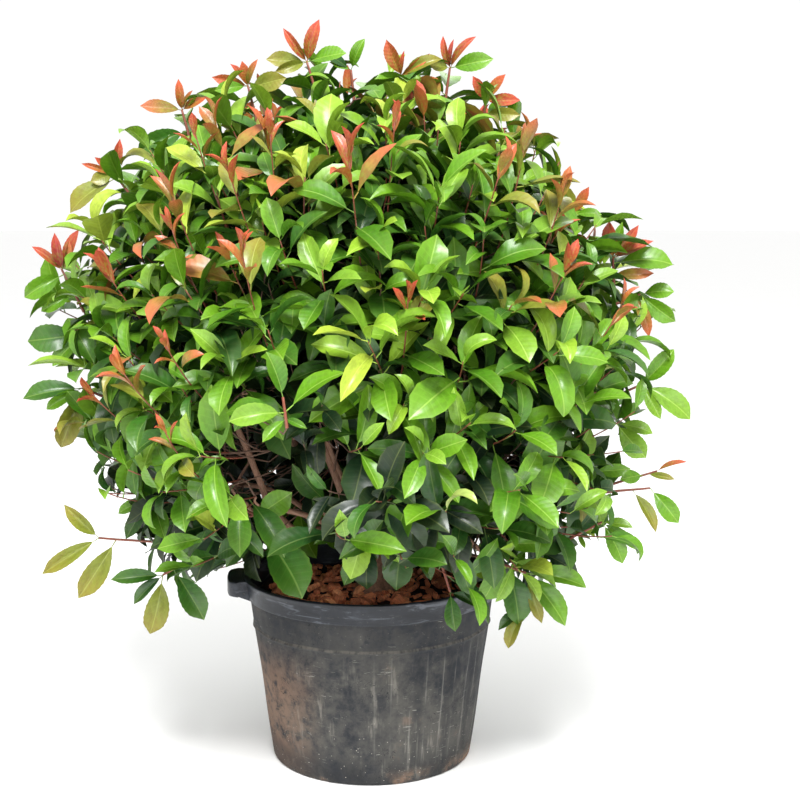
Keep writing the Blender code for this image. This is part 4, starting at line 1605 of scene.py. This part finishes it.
def scattered_shoots(rng, envelope, shoots):
    """Fills the crown's shell with shoots that keep their distance, layer by layer."""
    crown = bpy.context.scene.crown_looks
    tips = np.array([shoot.tip for shoot in shoots])
    found = list(shoots)
    tufts = len(OPEN_SPRAYS) + len(RED_TUFTS)
    for shallow, deep, wide, darts in LAYERS:
        spacing = crown.spacing * wide
        for _ in range(darts):
            direction = unit_draw(rng)
            depth = rng.uniform(shallow, deep)
            reach = envelope.reach(direction)
            if reach < 0.2:
                continue
            tip = CROWN_CENTRE + direction * (reach - depth)
            if taken(tip):
                continue
            away = np.linalg.norm(tips - np.array(tip), axis=1)
            if np.min(away) < spacing or np.min(away[:tufts]) < TUFT_ROOM:
                continue
            kind = young_kind(rng, tip, depth)
            lift = 0.80 if kind in RED_KINDS else 0.30 + 0.35 * height_share(tip)
            heading = heading_at(tip, rng, lift)
            length = crown.shoot_length * rng.uniform(0.8, 1.25)
            leaves = int(rng.integers(7, 11) if depth < LEAFY_DEPTH else rng.integers(5, 8))
            size = rng.uniform(0.82, 1.12)
            shoot = Shoot(tip, heading, length, kind, size, leaves, depth)
            shoot.set_base(outward_at(tip))
            shoot.light = crown_light(tip, depth) - shaded(tip) + rng.normal(0, 0.9)
            found.append(shoot)
            tips = np.vstack([tips, np.array(tip)])
    return found


# A joint of the branching, with the length of the path back to the limb, and a stretch of
# stem from one joint to the next
Joint = namedtuple("Joint", "place heading parent path")
Twig = namedtuple("Twig", "start leave end arrive thick thin")
LEAD_STEPS = 8
# How much the way back to the limb counts beside the distance, and how a stem thickens by load
WAY_WEIGHT = 0.45
LOAD_POWER = 0.38
# Least share of its leaves with which a shoot is kept
LEAFY_ENOUGH = 0.45


def leading_joints(limb):
    """The joints of the leading stem that carries a limb on into its mass."""
    end = limb.route[-1]
    heading = (limb.route[-1] - limb.route[-4]).normalized()
    aim = limb.seed + (limb.seed - CROWN_CENTRE) * 0.12
    arrive = (aim - end).normalized() * 0.10
    joints = [Joint(end, heading, -1, 0.0)]
    for number in range(1, LEAD_STEPS + 1):
        place = hermite(end, heading * 0.12, aim, arrive, number / LEAD_STEPS)
        step = place - joints[-1].place
        joints.append(Joint(place, step.normalized(), number - 1, joints[-1].path + step.length))
    return joints


def join_shoots(joints, shoots):
    """Adds a joint for each shoot, nearest first. Each way is near and short back to the limb."""
    places = np.array([joint.place for joint in joints])
    paths = np.array([joint.path for joint in joints])
    starts = np.array([shoot.start for shoot in shoots]).reshape(-1, 3)
    cost = np.linalg.norm(starts[:, None] - places[None], axis=2) + WAY_WEIGHT * paths[None]
    best, carrier = cost.min(axis=1), cost.argmin(axis=1)
    waiting = list(range(len(shoots)))
    while waiting:
        pick = min(waiting, key=lambda k: best[k])
        waiting.remove(pick)
        parent = int(carrier[pick])
        span = np.linalg.norm(starts[pick] - np.array(joints[parent].place))
        path = joints[parent].path + span
        joints.append(Joint(shoots[pick].start, shoots[pick].leaving, parent, path))
        fresh = np.linalg.norm(starts - starts[pick], axis=1) + WAY_WEIGHT * path
        better = fresh < best
        best = np.where(better, fresh, best)
        carrier = np.where(better, len(joints) - 1, carrier)


def twig_between(parent, joint, thick, thin):
    """The stretch of stem from a joint's parent to it, bent as both head."""
    way = joint.place - parent.place
    toward = way.normalized()
    leave = (parent.heading * 0.5 + toward * 0.7) * way.length
    arrive = (joint.heading * 0.7 + toward * 0.4) * way.length
    return Twig(parent.place, leave, joint.place, arrive, min(thick, thin * 1.25), thin)


def joined_by_rule(limb, shoots, radius):
    """Joins shoots to their limb, with stems as thick as the shoots they carry ask.

    Gives back the stretches of stem, and the points and radii of the leading stem.
    """
    joints = leading_joints(limb)
    lead = [joint.place for joint in joints]
    join_shoots(joints, shoots)
    load = np.zeros(len(joints))
    load[LEAD_STEPS + 1:] = 1
    for number in range(len(joints) - 1, 0, -1):
        load[joints[number].parent] += load[number]
    thick = radius * np.maximum(load, 0.6) ** LOAD_POWER
    thick = np.minimum(thick, limb.thick * LIMB_TAPER)
    twigs = []
    for number in range(LEAD_STEPS + 1, len(joints)):
        joint = joints[number]
        parent = joints[joint.parent]
        if (joint.place - parent.place).length > 1e-4:
            twigs.append(twig_between(parent, joint, thick[joint.parent], thick[number]))
    used = [number for number in range(1, LEAD_STEPS + 1) if load[number] > 0]
    last = max(used) if used else 1
    return twigs, (lead[: last + 1], [max(thick[k], radius) for k in range(last + 1)])


class Growth:
    """The whole branching: limbs, leading stems, twigs and leafy shoots, grown once."""

    made = None

    def __init__(self):
        crown = bpy.context.scene.crown_looks
        rng = np.random.default_rng(crown.seed)
        envelope = Envelope()
        self.limbs = all_limbs()
        self.limbs += named_stems(self.limbs)
        grown = scattered_shoots(rng, envelope, named_shoots(rng, envelope))
        for shoot in grown:
            shoot.borne = kept_leaves(leaves_of(shoot, rng, crown.leaf_length))
        self.shoots = [shoot for shoot in grown if len(shoot.borne) > LEAFY_ENOUGH * shoot.leaves]
        seeds = np.array([limb.seed for limb in self.limbs])
        shares = [[] for _ in self.limbs]
        for shoot in self.shoots:
            nearest = np.linalg.norm(seeds - np.array(shoot.start), axis=1).argmin()
            shares[nearest].append(shoot)
            shoot.ring = self.limbs[nearest].ring
        self.twigs, self.leads = [], []
        for limb, share in zip(self.limbs, shares):
            twigs, lead = joined_by_rule(limb, share, crown.twig_radius)
            self.twigs += twigs
            self.leads.append(lead)

    @classmethod
    def get(cls):
        if cls.made is None:
            cls.made = cls()
        return cls.made


def make_bark():
    """Trunk and limbs in relief, with each limb carried on into its mass of leaves."""
    growth = Growth.get()
    colours = bpy.context.scene.leaf_colours
    parts = [trunk_part()]
    for limb, (lead, thick) in zip(growth.limbs, growth.leads):
        route = limb.route + lead[1:]
        steps = len(limb.route) - 1
        radii = [limb.thick * (1 - (1 - LIMB_TAPER) * k / steps) for k in range(steps + 1)]
        end = radii[-1]
        radii += [min(end, value) for value in thick[1:]]
        radii[-1] *= 0.8
        parts += capped(tube_part(route, radii, LIMB_SIDES, BARK_RELIEF), LIMB_SIDES)
    piece = joined_object("bark", parts, [bark_surface("bark", colours.bark)])
    names = [name for name in frame["nodes"] if name.startswith("bough") or name == "trunk"]
    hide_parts(*sorted(names))
    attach(piece, "root")


TWIG_BARK, YOUNG_STEM, PAINTED_SHADE_TWIG = range(3)


def make_twigs():
    """Twigs between the limbs and the shoots, brown, and the shoots' own red-brown axes. Thin twigs and
    the axes of inner shoots take a darker copy of the bark, which is painted shade.
    """
    growth = Growth.get()
    colours = bpy.context.scene.leaf_colours
    crown = bpy.context.scene.crown_looks
    rng = np.random.default_rng(crown.seed + 1)
    parts = []
    for twig in growth.twigs:
        span = (twig.end - twig.start).length
        steps = max(3, min(8, round(span / 0.022)))
        wander = [unit_draw(rng) * span * 0.022 for _ in range(steps + 1)]
        points = [
            hermite(*twig[:4], k / steps) + wander[k] * (0 < k < steps)
            for k in range(steps + 1)
        ]
        thick, thin = twig.thick, twig.thin
        radii = [thick + (thin - thick) * k / steps for k in range(steps + 1)]
        tone = TWIG_BARK if thin > 1.35 * crown.twig_radius else PAINTED_SHADE_TWIG
        parts.append(tube_part(points, radii, 6 if thin > 0.002 else 5, 0.0, tone))
    for shoot in growth.shoots:
        shares = (0.0, 0.22, 0.44, 0.64, 0.84, 1.0)
        points = [shoot.axis(share) for share in shares]
        thick = crown.twig_radius * (2.0 if shoot.placed else 1.0)
        radii = [thick * (1.1 - 0.35 * share) for share in shares]
        tone = YOUNG_STEM if shoot.depth < YOUNG_DEPTH else PAINTED_SHADE_TWIG
        parts += capped(tube_part(points, radii, 5, 0.0, tone), 5)
    materials = [bark_surface("twig_bark", colours.bark, 0.75)]
    materials.append(bark_surface("young_stem", colours.twig, 0.55))
    # A darker copy of the bark for thin twigs and inner shoots: painted shade
    materials.append(bark_surface("twig_painted_shade", scaled(colours.bark, 0.42), 0.75))
    piece = joined_object("twigs", parts, materials)
    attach(piece, "root")


LeafForm = namedtuple("LeafForm", "width fold bend start twist wave petiole peak")
FORMS = {
    "grown": (
        LeafForm(0.240, 30, 34, 12, 6, 0.05, 0.13, 0.92),
        LeafForm(0.255, 24, 50, 16, -9, 0.07, 0.15, 1.00),
        LeafForm(0.230, 38, 26, 8, 4, 0.04, 0.12, 0.88),
        LeafForm(0.262, 20, 38, 12, -4, 0.06, 0.16, 1.05),
        LeafForm(0.245, 44, 66, 22, 12, 0.06, 0.14, 0.92),
        LeafForm(0.250, 28, 18, 4, -6, 0.08, 0.13, 1.00),
    ),
    "arched": (
        LeafForm(0.210, 26, 95, 26, 8, 0.05, 0.13, 0.85),
        LeafForm(0.220, 34, 120, 30, -10, 0.05, 0.12, 0.90),
        LeafForm(0.205, 42, 80, 20, 12, 0.04, 0.13, 0.85),
    ),
    "young": (
        LeafForm(0.200, 34, 24, 8, 5, 0.03, 0.08, 0.88),
        LeafForm(0.185, 42, 38, 14, -8, 0.03, 0.07, 0.85),
        LeafForm(0.215, 28, 6, 0, 10, 0.04, 0.08, 0.92),
        LeafForm(0.180, 48, 54, 18, -5, 0.03, 0.07, 0.85),
    ),
}
# Age down to which an open spray has its placed leaves only
PLACED_TO_AGE = 0.62
# Shares of the width: how far the teeth stand out, the stalk, and half the blade in UV
TEETH = 0.022
STALK_RADIUS = 0.011
STALK_SIDES = 3
BLADE_HALF = 0.46
# Rows of points along a blade and points across it, from the nearest leaves to the inner ones
DETAIL = {"placed": (26, 7), "full": (14, 5), "spare": (6, 3)}
# How far a leaf may pass the box of the solids, and how near it may come to the pot and floor
OUTSIDE = 0.012
ABOVE_RIM = 0.004
BESIDE_RIM = 0.006
ABOVE_FLOOR = 0.16


def half_width(share, peak):
    """Outline of the blade as a share of its greatest half width."""
    tip = 0.80
    top = peak / (peak + tip)
    scale = 1 / (top**peak * (1 - top) ** tip)
    body = scale * share**peak * (1 - share) ** tip
    point = 1 - 0.55 * max(0.0, (share - 0.78) / 0.22) ** 1.2
    return body * point


Blade = namedtuple("Blade", "points quads triangles quad_spots triangle_spots")


def blade_rows(form, stations, columns):
    """Points and UV spots of a blade, row by row from its base to its tip."""
    shares = [(1 - math.cos(math.pi * k / stations)) / 2 for k in range(stations + 1)]
    shares = [0.35 * k / stations + 0.65 * s for k, s in enumerate(shares)]
    start = form.petiole
    fold = math.radians(form.fold)
    angle = math.radians(form.start)
    place = np.array([0.0, start * math.cos(0.5 * angle), start * math.sin(0.5 * angle)])
    across = np.linspace(-1, 1, columns)
    rows, spots = [], []
    before = 0.0
    for number, share in enumerate(shares):
        step = share - before
        middle = 0.5 * (share + before)
        tilt = angle - math.radians(form.bend) * middle**1.25
        place = place + step * np.array([0.0, math.cos(tilt), math.sin(tilt)])
        before = share
        tilt = angle - math.radians(form.bend) * share**1.25
        up = np.array([0.0, -math.sin(tilt), math.cos(tilt)])
        side = np.array([1.0, 0.0, 0.0])
        turn = math.radians(form.twist) * share
        cosine, sine = math.cos(turn), math.sin(turn)
        side, up = side * cosine + up * sine, up * cosine - side * sine
        tooth = 1 + TEETH * (-1) ** number
        width = form.width * tooth * half_width(share, form.peak)
        for t in across:
            ripple = form.wave * math.sin(9 * share + 1.7 * t) * abs(t)
            lift = abs(t) * math.sin(fold) - 0.22 * math.sin(fold) * t * t + ripple
            rows.append(place + side * (t * width * math.cos(fold)) + up * (width * lift))
            spots.append((0.5 + BLADE_HALF * t * half_width(share, form.peak), share))
    return rows, spots


def stalk_points(base):
    """Points of a leaf's stalk, from the twig to a little inside the blade."""
    inside = base + np.array([0, 0.012, 0])
    points = []
    for centre, size in ((np.zeros(3), 1.25), (inside, 0.9)):
        for k in range(STALK_SIDES):
            turn = math.tau * k / STALK_SIDES + math.pi / 2
            out = np.array([math.cos(turn), 0, math.sin(turn)])
            points.append(centre + STALK_RADIUS * size * out)
    return points


def leaf_blade(form, stations, columns):
    """A leaf of unit length along +Y from the twig, upper side up, with its stalk."""
    rows, spots = blade_rows(form, stations, columns)
    half = columns // 2
    base, tip = rows[half], rows[-half - 1]
    points = [base, *rows[columns:-columns], tip]
    flat_spots = np.array([spots[half], *spots[columns:-columns], spots[-half - 1]])
    quads = grid_faces(stations - 1, columns, False) + 1
    last = len(points) - 1
    triangles = []
    for k in range(columns - 1):
        triangles.append((0, 2 + k, 1 + k))
        triangles.append((last, last - columns + k, last - columns + k + 1))
    triangles = np.array(triangles)
    stalk = stalk_points(base)
    quads = np.vstack([quads, grid_faces(2, STALK_SIDES, True) + len(points)])
    points = np.array([*points, *stalk])
    flat_spots = np.vstack([flat_spots, np.tile([0.5, 0.03], (len(stalk), 1))])
    return Blade(points, quads, triangles, flat_spots[quads], flat_spots[triangles])


def leaf_tone(rng, shoot, age, showing):
    """Tone of a leaf by its shoot, its age from 0 at the tip, and the side it shows outwards."""
    draw = rng.uniform()
    if shoot.kind in RED_KINDS and shoot.depth < YOUNG_DEPTH:
        if age < 0.30:
            return shoot.kind if draw < 0.72 else NEAR_KIND[shoot.kind]
        if age < 0.45:
            return "orange" if draw < 0.30 else "bronze" if draw < 0.72 else "olive"
        if age < 0.62:
            return "bronze" if draw < 0.18 else "olive" if draw < 0.65 else "lime"
    if shoot.kind == "olive" and age < 0.45 and draw < 0.75:
        return "olive" if draw < 0.60 else "bronze"
    level = shoot.light - 2.6 * age + rng.normal(0, 0.8)
    if showing < -0.10:
        if level > 3.2:
            return "pale" if draw < 0.5 else "lime"
        level += 1.2
    return LADDER[int(max(0, min(len(LADDER) - 1, round(level))))]


def leaves_of(shoot, rng, length):
    """The leaves of one shoot, in a spiral from its tip down."""
    red = shoot.kind in RED_KINDS
    turn = rng.uniform(0, math.tau)
    outward = outward_at(shoot.tip)
    high = 0.5 + 0.5 * height_share(shoot.tip)
    light = (UP * 0.85 + outward * 0.45).normalized()
    leaves = list(shoot.placed)
    for number in range(shoot.leaves):
        age = number / max(1, shoot.leaves - 1)
        share = 1.0 - age**1.35 * 0.92
        if shoot.placed and age < PLACED_TO_AGE:
            continue
        place = shoot.axis(max(0.04, share))
        axis = shoot.direction(max(0.05, min(0.97, share)))
        side = axis.orthogonal().normalized()
        over = axis.cross(side)
        turn += GOLDEN_TURN + rng.uniform(-0.3, 0.3)
        radial = side * math.cos(turn) + over * math.sin(turn)
        young = red and age < 0.45
        if young:
            lean = math.radians(10 + 85 * age + rng.uniform(-5, 8))
            size = (0.62 + 0.75 * age) * rng.uniform(0.88, 1.12)
            form = "young"
            up = axis - radial * 0.8 + light * 0.3
            droop = 0.0
        else:
            lean = math.radians(34 + (48 - 10 * high) * age + 14 * (1 - high) + rng.uniform(-12, 12))
            size = (0.76 + 0.40 * min(1.0, age * 2.2)) * rng.uniform(0.84, 1.16)
            form = "arched" if rng.uniform() < (0.34 if age < 0.5 else 0.16) else "grown"
            up = axis * 0.45 + light * 0.8 + unit_draw(rng) * 0.46
            droop = (0.04 + 0.24 * age) * (1.25 - high)
        along = (axis * math.cos(lean) + radial * math.sin(lean) - UP * droop).normalized()
        normal = up - along * up.dot(along)
        if normal.length < 0.05:
            continue
        normal.normalize()
        showing = normal.dot((outward * 0.8 + UP * 0.2).normalized())
        tone = leaf_tone(rng, shoot, age, showing)
        blade = length * shoot.size * size
        wide = rng.uniform(0.90, 1.12)
        detail = "full" if shoot.depth < DETAIL_DEPTH else "spare"
        leaves.append(Leaf(place, along, normal, blade, wide, tone, form, detail, shoot.named))
    return leaves


def kept_leaves(leaves):
    """Leaves that block no opening, miss the pot and stay in the crown's room."""
    if not leaves:
        return []
    place = np.array([leaf.place for leaf in leaves])
    along = np.array([leaf.along for leaf in leaves])
    length = np.array([leaf.length for leaf in leaves])[:, None]
    named = np.array([leaf.named for leaf in leaves])
    spots = [place + along * length * share for share in (0.2, 0.45, 0.75, 1.1)]
    keep = np.ones(len(leaves), bool)
    for points in spots:
        hiding = (points[:, 1] < WINDOW_BACK) & in_openings(points, STEM_WINDOWS)
        keep &= named | ~(hiding | in_openings(points, SKY_GAPS))
        across = np.hypot(points[:, 0], points[:, 1])
        keep &= ~((points[:, 2] < POT_HEIGHT + ABOVE_RIM) & (across < RIM_RADIUS + BESIDE_RIM))
        keep &= points[:, 2] > ABOVE_FLOOR
    tip = spots[-1]
    low, high = np.array(CAD_BOX[0]) - OUTSIDE, np.array(CAD_BOX[1]) + OUTSIDE
    keep &= ((tip > low) & (tip < high)).all(axis=1)
    return [leaf for leaf, stays in zip(leaves, keep) if stays]


def dealt(faces, spots, tones, size):
    """Faces, UV spots and tones of as many blades as there are tones, each in its tone's square."""
    shift = (np.arange(len(tones)) * size)[:, None, None]
    rows = (faces[None] + shift).reshape(-1, faces.shape[1])
    square = np.stack([tones % CELLS, tones // CELLS], axis=1)[:, None, None, :]
    inner = spots * (1 - 2 * CELL_EDGE) + CELL_EDGE
    laid = (square + inner[None]) / CELLS
    return rows, laid.reshape(-1, faces.shape[1], 2), np.repeat(tones, len(faces))


def leaf_parts(leaves, rng):
    """All leaves as parts: each blade form is laid at all its leaves' places at once."""
    groups = {}
    for leaf in leaves:
        choice = int(rng.integers(len(FORMS[leaf.form])))
        groups.setdefault((leaf.form, choice, leaf.detail), []).append(leaf)
    parts = []
    for (form, choice, detail), members in sorted(groups.items()):
        blade = leaf_blade(FORMS[form][choice], *DETAIL[detail])
        along = np.array([leaf.along for leaf in members])
        normal = np.array([leaf.normal for leaf in members])
        turn = np.stack([np.cross(along, normal), along, normal], axis=2)
        length = np.array([leaf.length for leaf in members])[:, None, None]
        place = np.array([leaf.place for leaf in members])[:, None, :]
        shape = np.repeat(blade.points[None], len(members), axis=0)
        shape[:, :, 0] *= np.array([leaf.width for leaf in members])[:, None]
        points = np.einsum("nij,npj->npi", turn, shape) * length + place
        tones = np.array([TONE_NUMBER[leaf.tone] for leaf in members])
        size = len(blade.points)
        body = Part(points.reshape(-1, 3), *dealt(blade.quads, blade.quad_spots, tones, size))
        parts.append(body)
        parts.append(more_faces(body, *dealt(blade.triangles, blade.triangle_spots, tones, size)))
    return parts


def leaf_surface(tone, number):
    """A waxy leaf: pale midrib, faint side veins that sweep to the tip, and soft patches."""
    colours = bpy.context.scene.leaf_colours
    face = tuple(getattr(colours, tone.name))
    surface = Surface(f"leaf_{tone.name}")
    spot = surface.spot()
    x, y, _ = surface.parts(spot)
    span = 1 - 2 * CELL_EDGE
    across = abs((x * CELLS - (number % CELLS + 0.5)) / (BLADE_HALF * span))
    along = (y * CELLS - (number // CELLS + CELL_EDGE)) / span
    patch = surface.noise(spot, 30.0, 4.0, 0.6)
    fine = surface.noise(spot, 260.0, 2.0, 0.6)
    if tone.name in RED_KINDS:
        base_colour = blended(face, linear(112, 132, 44), 0.55)
        tip_colour = blended(face, linear(196, 70, 64), 0.55)
        rib_colour = blended(face, linear(206, 140, 84), 0.5)
    else:
        base_colour = scaled(face, 0.74)
        tip_colour = blended(scaled(face, 1.15), linear(150, 170, 56), 0.30)
        rib_colour = blended(scaled(face, 1.7), linear(184, 196, 110), 0.40)
    if tone.name == "olive":
        tip_colour = blended(face, linear(180, 110, 62), 0.35)
    colour = surface.mix(face, base_colour, patch.rise(0.42, 0.66))
    colour = surface.mix(colour, tip_colour, (along + patch * 0.6).rise(0.60, 1.25) * tone.tip)
    sweep = (along - across * 0.13) * 9.0
    ridge = abs(sweep.fraction() - 0.5) * 2
    vein = ridge.fall(0.0, 0.24) * across.rise(0.02, 0.10) * across.fall(0.70, 0.95)
    rib = across.fall(0.020, 0.065)
    colour = surface.mix(colour, rib_colour, vein * 0.18 * tone.rib)
    colour = surface.mix(colour, rib_colour, rib * tone.rib)
    colour = surface.mix(colour, tip_colour, across.rise(0.80, 1.0) * 0.30)
    rough = tone.roughness + 0.12 * patch + 0.05 * fine
    height = ridge * 0.5 + rib * -0.8 + fine * 0.15
    surface.shader.inputs["Specular IOR Level"].default_value = 0.20
    surface.shader.inputs["Coat Weight"].default_value = 0.30
    surface.shader.inputs["Coat Roughness"].default_value = 0.24
    return surface.finish(colour, rough, height, 0.35, 0.0012)


def make_leaves():
    """Leaves of every ring of masses, and the red tufts apart."""
    growth = Growth.get()
    crown = bpy.context.scene.crown_looks
    rng = np.random.default_rng(crown.seed + 2)
    materials = [leaf_surface(tone, number) for number, tone in enumerate(TONES)]
    sorted_leaves = {"top": [], "upper": [], "middle": [], "lower": [], "young": []}
    for shoot in growth.shoots:
        for leaf in shoot.borne:
            ring = "young" if leaf.tone in RED_KINDS else shoot.ring
            sorted_leaves[ring].append(leaf)
    names = sorted(name for name in frame["nodes"] if name.startswith("foliage"))
    for ring, leaves in sorted_leaves.items():
        parts = leaf_parts(leaves, rng)
        piece = joined_object(f"{ring}_leaves", parts, materials)
        own = names if ring == "young" else [n for n in names if n.startswith(f"foliage_{ring}")]
        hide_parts(*own)
        "red_foliage" if ring == "young" else "foliage"
        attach(piece, "root")


# Lights, whose strengths are settings of the stage, and the floor
KEY_PLACE = (0.0, -2.5, 3.4)
FILL_PLACE = (0.5, -3.3, 0.75)
BACK_PLACE = (0.8, 2.8, 2.6)
FLOOR_RADII = (0.0, 1.0, 4.0, 40.0)
FLOOR_DROP = 0.0005


def make_camera():
    camera = bpy.data.objects.new("camera", bpy.data.cameras.new("camera"))
    camera.data.lens = LENS
    camera.data.sensor_width = SENSOR
    camera.location = CAMERA_PLACE
    camera.rotation_euler = (math.pi / 2 - CAMERA_PITCH, 0, 0)
    bpy.context.collection.objects.link(camera)
    bpy.context.scene.camera = camera


def soft_light(name, place, target, size, watts):
    """A square studio light that looks at a point."""
    lamp = bpy.data.lights.new(name, "AREA")
    lamp.energy = watts
    lamp.size = size
    thing = bpy.data.objects.new(name, lamp)
    thing.location = place
    thing.rotation_euler = (Vector(target) - Vector(place)).to_track_quat("-Z", "Y").to_euler()
    bpy.context.collection.objects.link(thing)


def make_stage():
    """Plain pale floor, even light all round, a soft key from above the camera and a fill."""
    looks = bpy.context.scene.stage_looks
    floor = joined_object("floor", [turned_part([(radius, 0.0) for radius in FLOOR_RADII], 96)], [])
    surface = Surface("floor")
    grain = surface.noise(surface.place(), 3.0, 2.0)
    colour = surface.mix(looks.floor, scaled(looks.floor, 0.98), grain)
    floor.data.materials.append(surface.finish(colour, 0.9))
    floor.location.z = -FLOOR_DROP
    world = bpy.data.worlds.new("studio")
    world.use_nodes = True
    background = world.node_tree.nodes["Background"]
    background.inputs["Color"].default_value = (1.0, 1.0, 1.0, 1.0)
    background.inputs["Strength"].default_value = looks.sky
    bpy.context.scene.world = world
    bpy.context.scene.view_settings.view_transform = "Standard"
    middle = (0.0, 0.0, HALF_WAY_UP)
    soft_light("key", KEY_PLACE, middle, 1.2, looks.key)
    soft_light("fill", FILL_PLACE, (0.0, 0.0, 0.4), 1.6, looks.fill)
    soft_light("back", BACK_PLACE, middle, 1.6, 0.5 * looks.fill)


class PHOTINIA_OT_stage(bpy.types.Operator):
    """Makes the floor, the lights and the camera"""

    bl_idname = "photinia.stage"
    bl_label = "Stage"

    def execute(self, context):
        make_camera()
        make_stage()
        return {"FINISHED"}


class PHOTINIA_OT_pot(bpy.types.Operator):
    """Makes the weathered plastic pot with its rim band and lugs"""

    bl_idname = "photinia.pot"
    bl_label = "Pot"

    def execute(self, context):
        make_pot()
        return {"FINISHED"}


class PHOTINIA_OT_mulch(bpy.types.Operator):
    """Makes the compost and the bark mulch on it"""

    bl_idname = "photinia.mulch"
    bl_label = "Mulch"

    def execute(self, context):
        make_compost()
        make_chips()
        return {"FINISHED"}


class PHOTINIA_OT_bark(bpy.types.Operator):
    """Makes the root crown and the limbs in relief"""

    bl_idname = "photinia.bark"
    bl_label = "Trunk and limbs"

    def execute(self, context):
        make_bark()
        return {"FINISHED"}


class PHOTINIA_OT_twigs(bpy.types.Operator):
    """Makes the twigs from the limbs to the leafy shoots"""

    bl_idname = "photinia.twigs"
    bl_label = "Twigs"

    def execute(self, context):
        make_twigs()
        return {"FINISHED"}


class PHOTINIA_OT_leaves(bpy.types.Operator):
    """Makes the leaves, green and red"""

    bl_idname = "photinia.leaves"
    bl_label = "Leaves"

    def execute(self, context):
        make_leaves()
        return {"FINISHED"}


STEPS = (
    PHOTINIA_OT_stage,
    PHOTINIA_OT_pot,
    PHOTINIA_OT_mulch,
    PHOTINIA_OT_bark,
    PHOTINIA_OT_twigs,
    PHOTINIA_OT_leaves,
)
GROUPS = {
    "stage_looks": StageLooks,
    "pot_looks": PotLooks,
    "crown_looks": CrownLooks,
    "leaf_colours": LeafColours,
}


class PHOTINIA_PT_panel(bpy.types.Panel):
    """Lists the settings and the steps"""

    bl_idname = "PHOTINIA_PT_panel"
    bl_label = "Photinia"
    bl_space_type = "VIEW_3D"
    bl_region_type = "UI"
    bl_category = "Photinia"

    def draw(self, context):
        for name, group in GROUPS.items():
            box = self.layout.box()
            for field in group.__annotations__:
                box.prop(getattr(context.scene, name), field)
        for step in STEPS:
            self.layout.operator(step.bl_idname)


def register():
    for group in GROUPS.values():
        bpy.utils.register_class(group)
    for name, group in GROUPS.items():
        setattr(bpy.types.Scene, name, PointerProperty(type=group))
    for step in STEPS:
        bpy.utils.register_class(step)
    bpy.utils.register_class(PHOTINIA_PT_panel)


def unregister():
    bpy.utils.unregister_class(PHOTINIA_PT_panel)
    for step in reversed(STEPS):
        bpy.utils.unregister_class(step)
    for name, group in GROUPS.items():
        delattr(bpy.types.Scene, name)
        bpy.utils.unregister_class(group)


def main():
    register()
    for step in STEPS:
        group, name = step.bl_idname.split(".")
        getattr(getattr(bpy.ops, group), name)()
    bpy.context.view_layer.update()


if __name__ == "__main__":
    main()
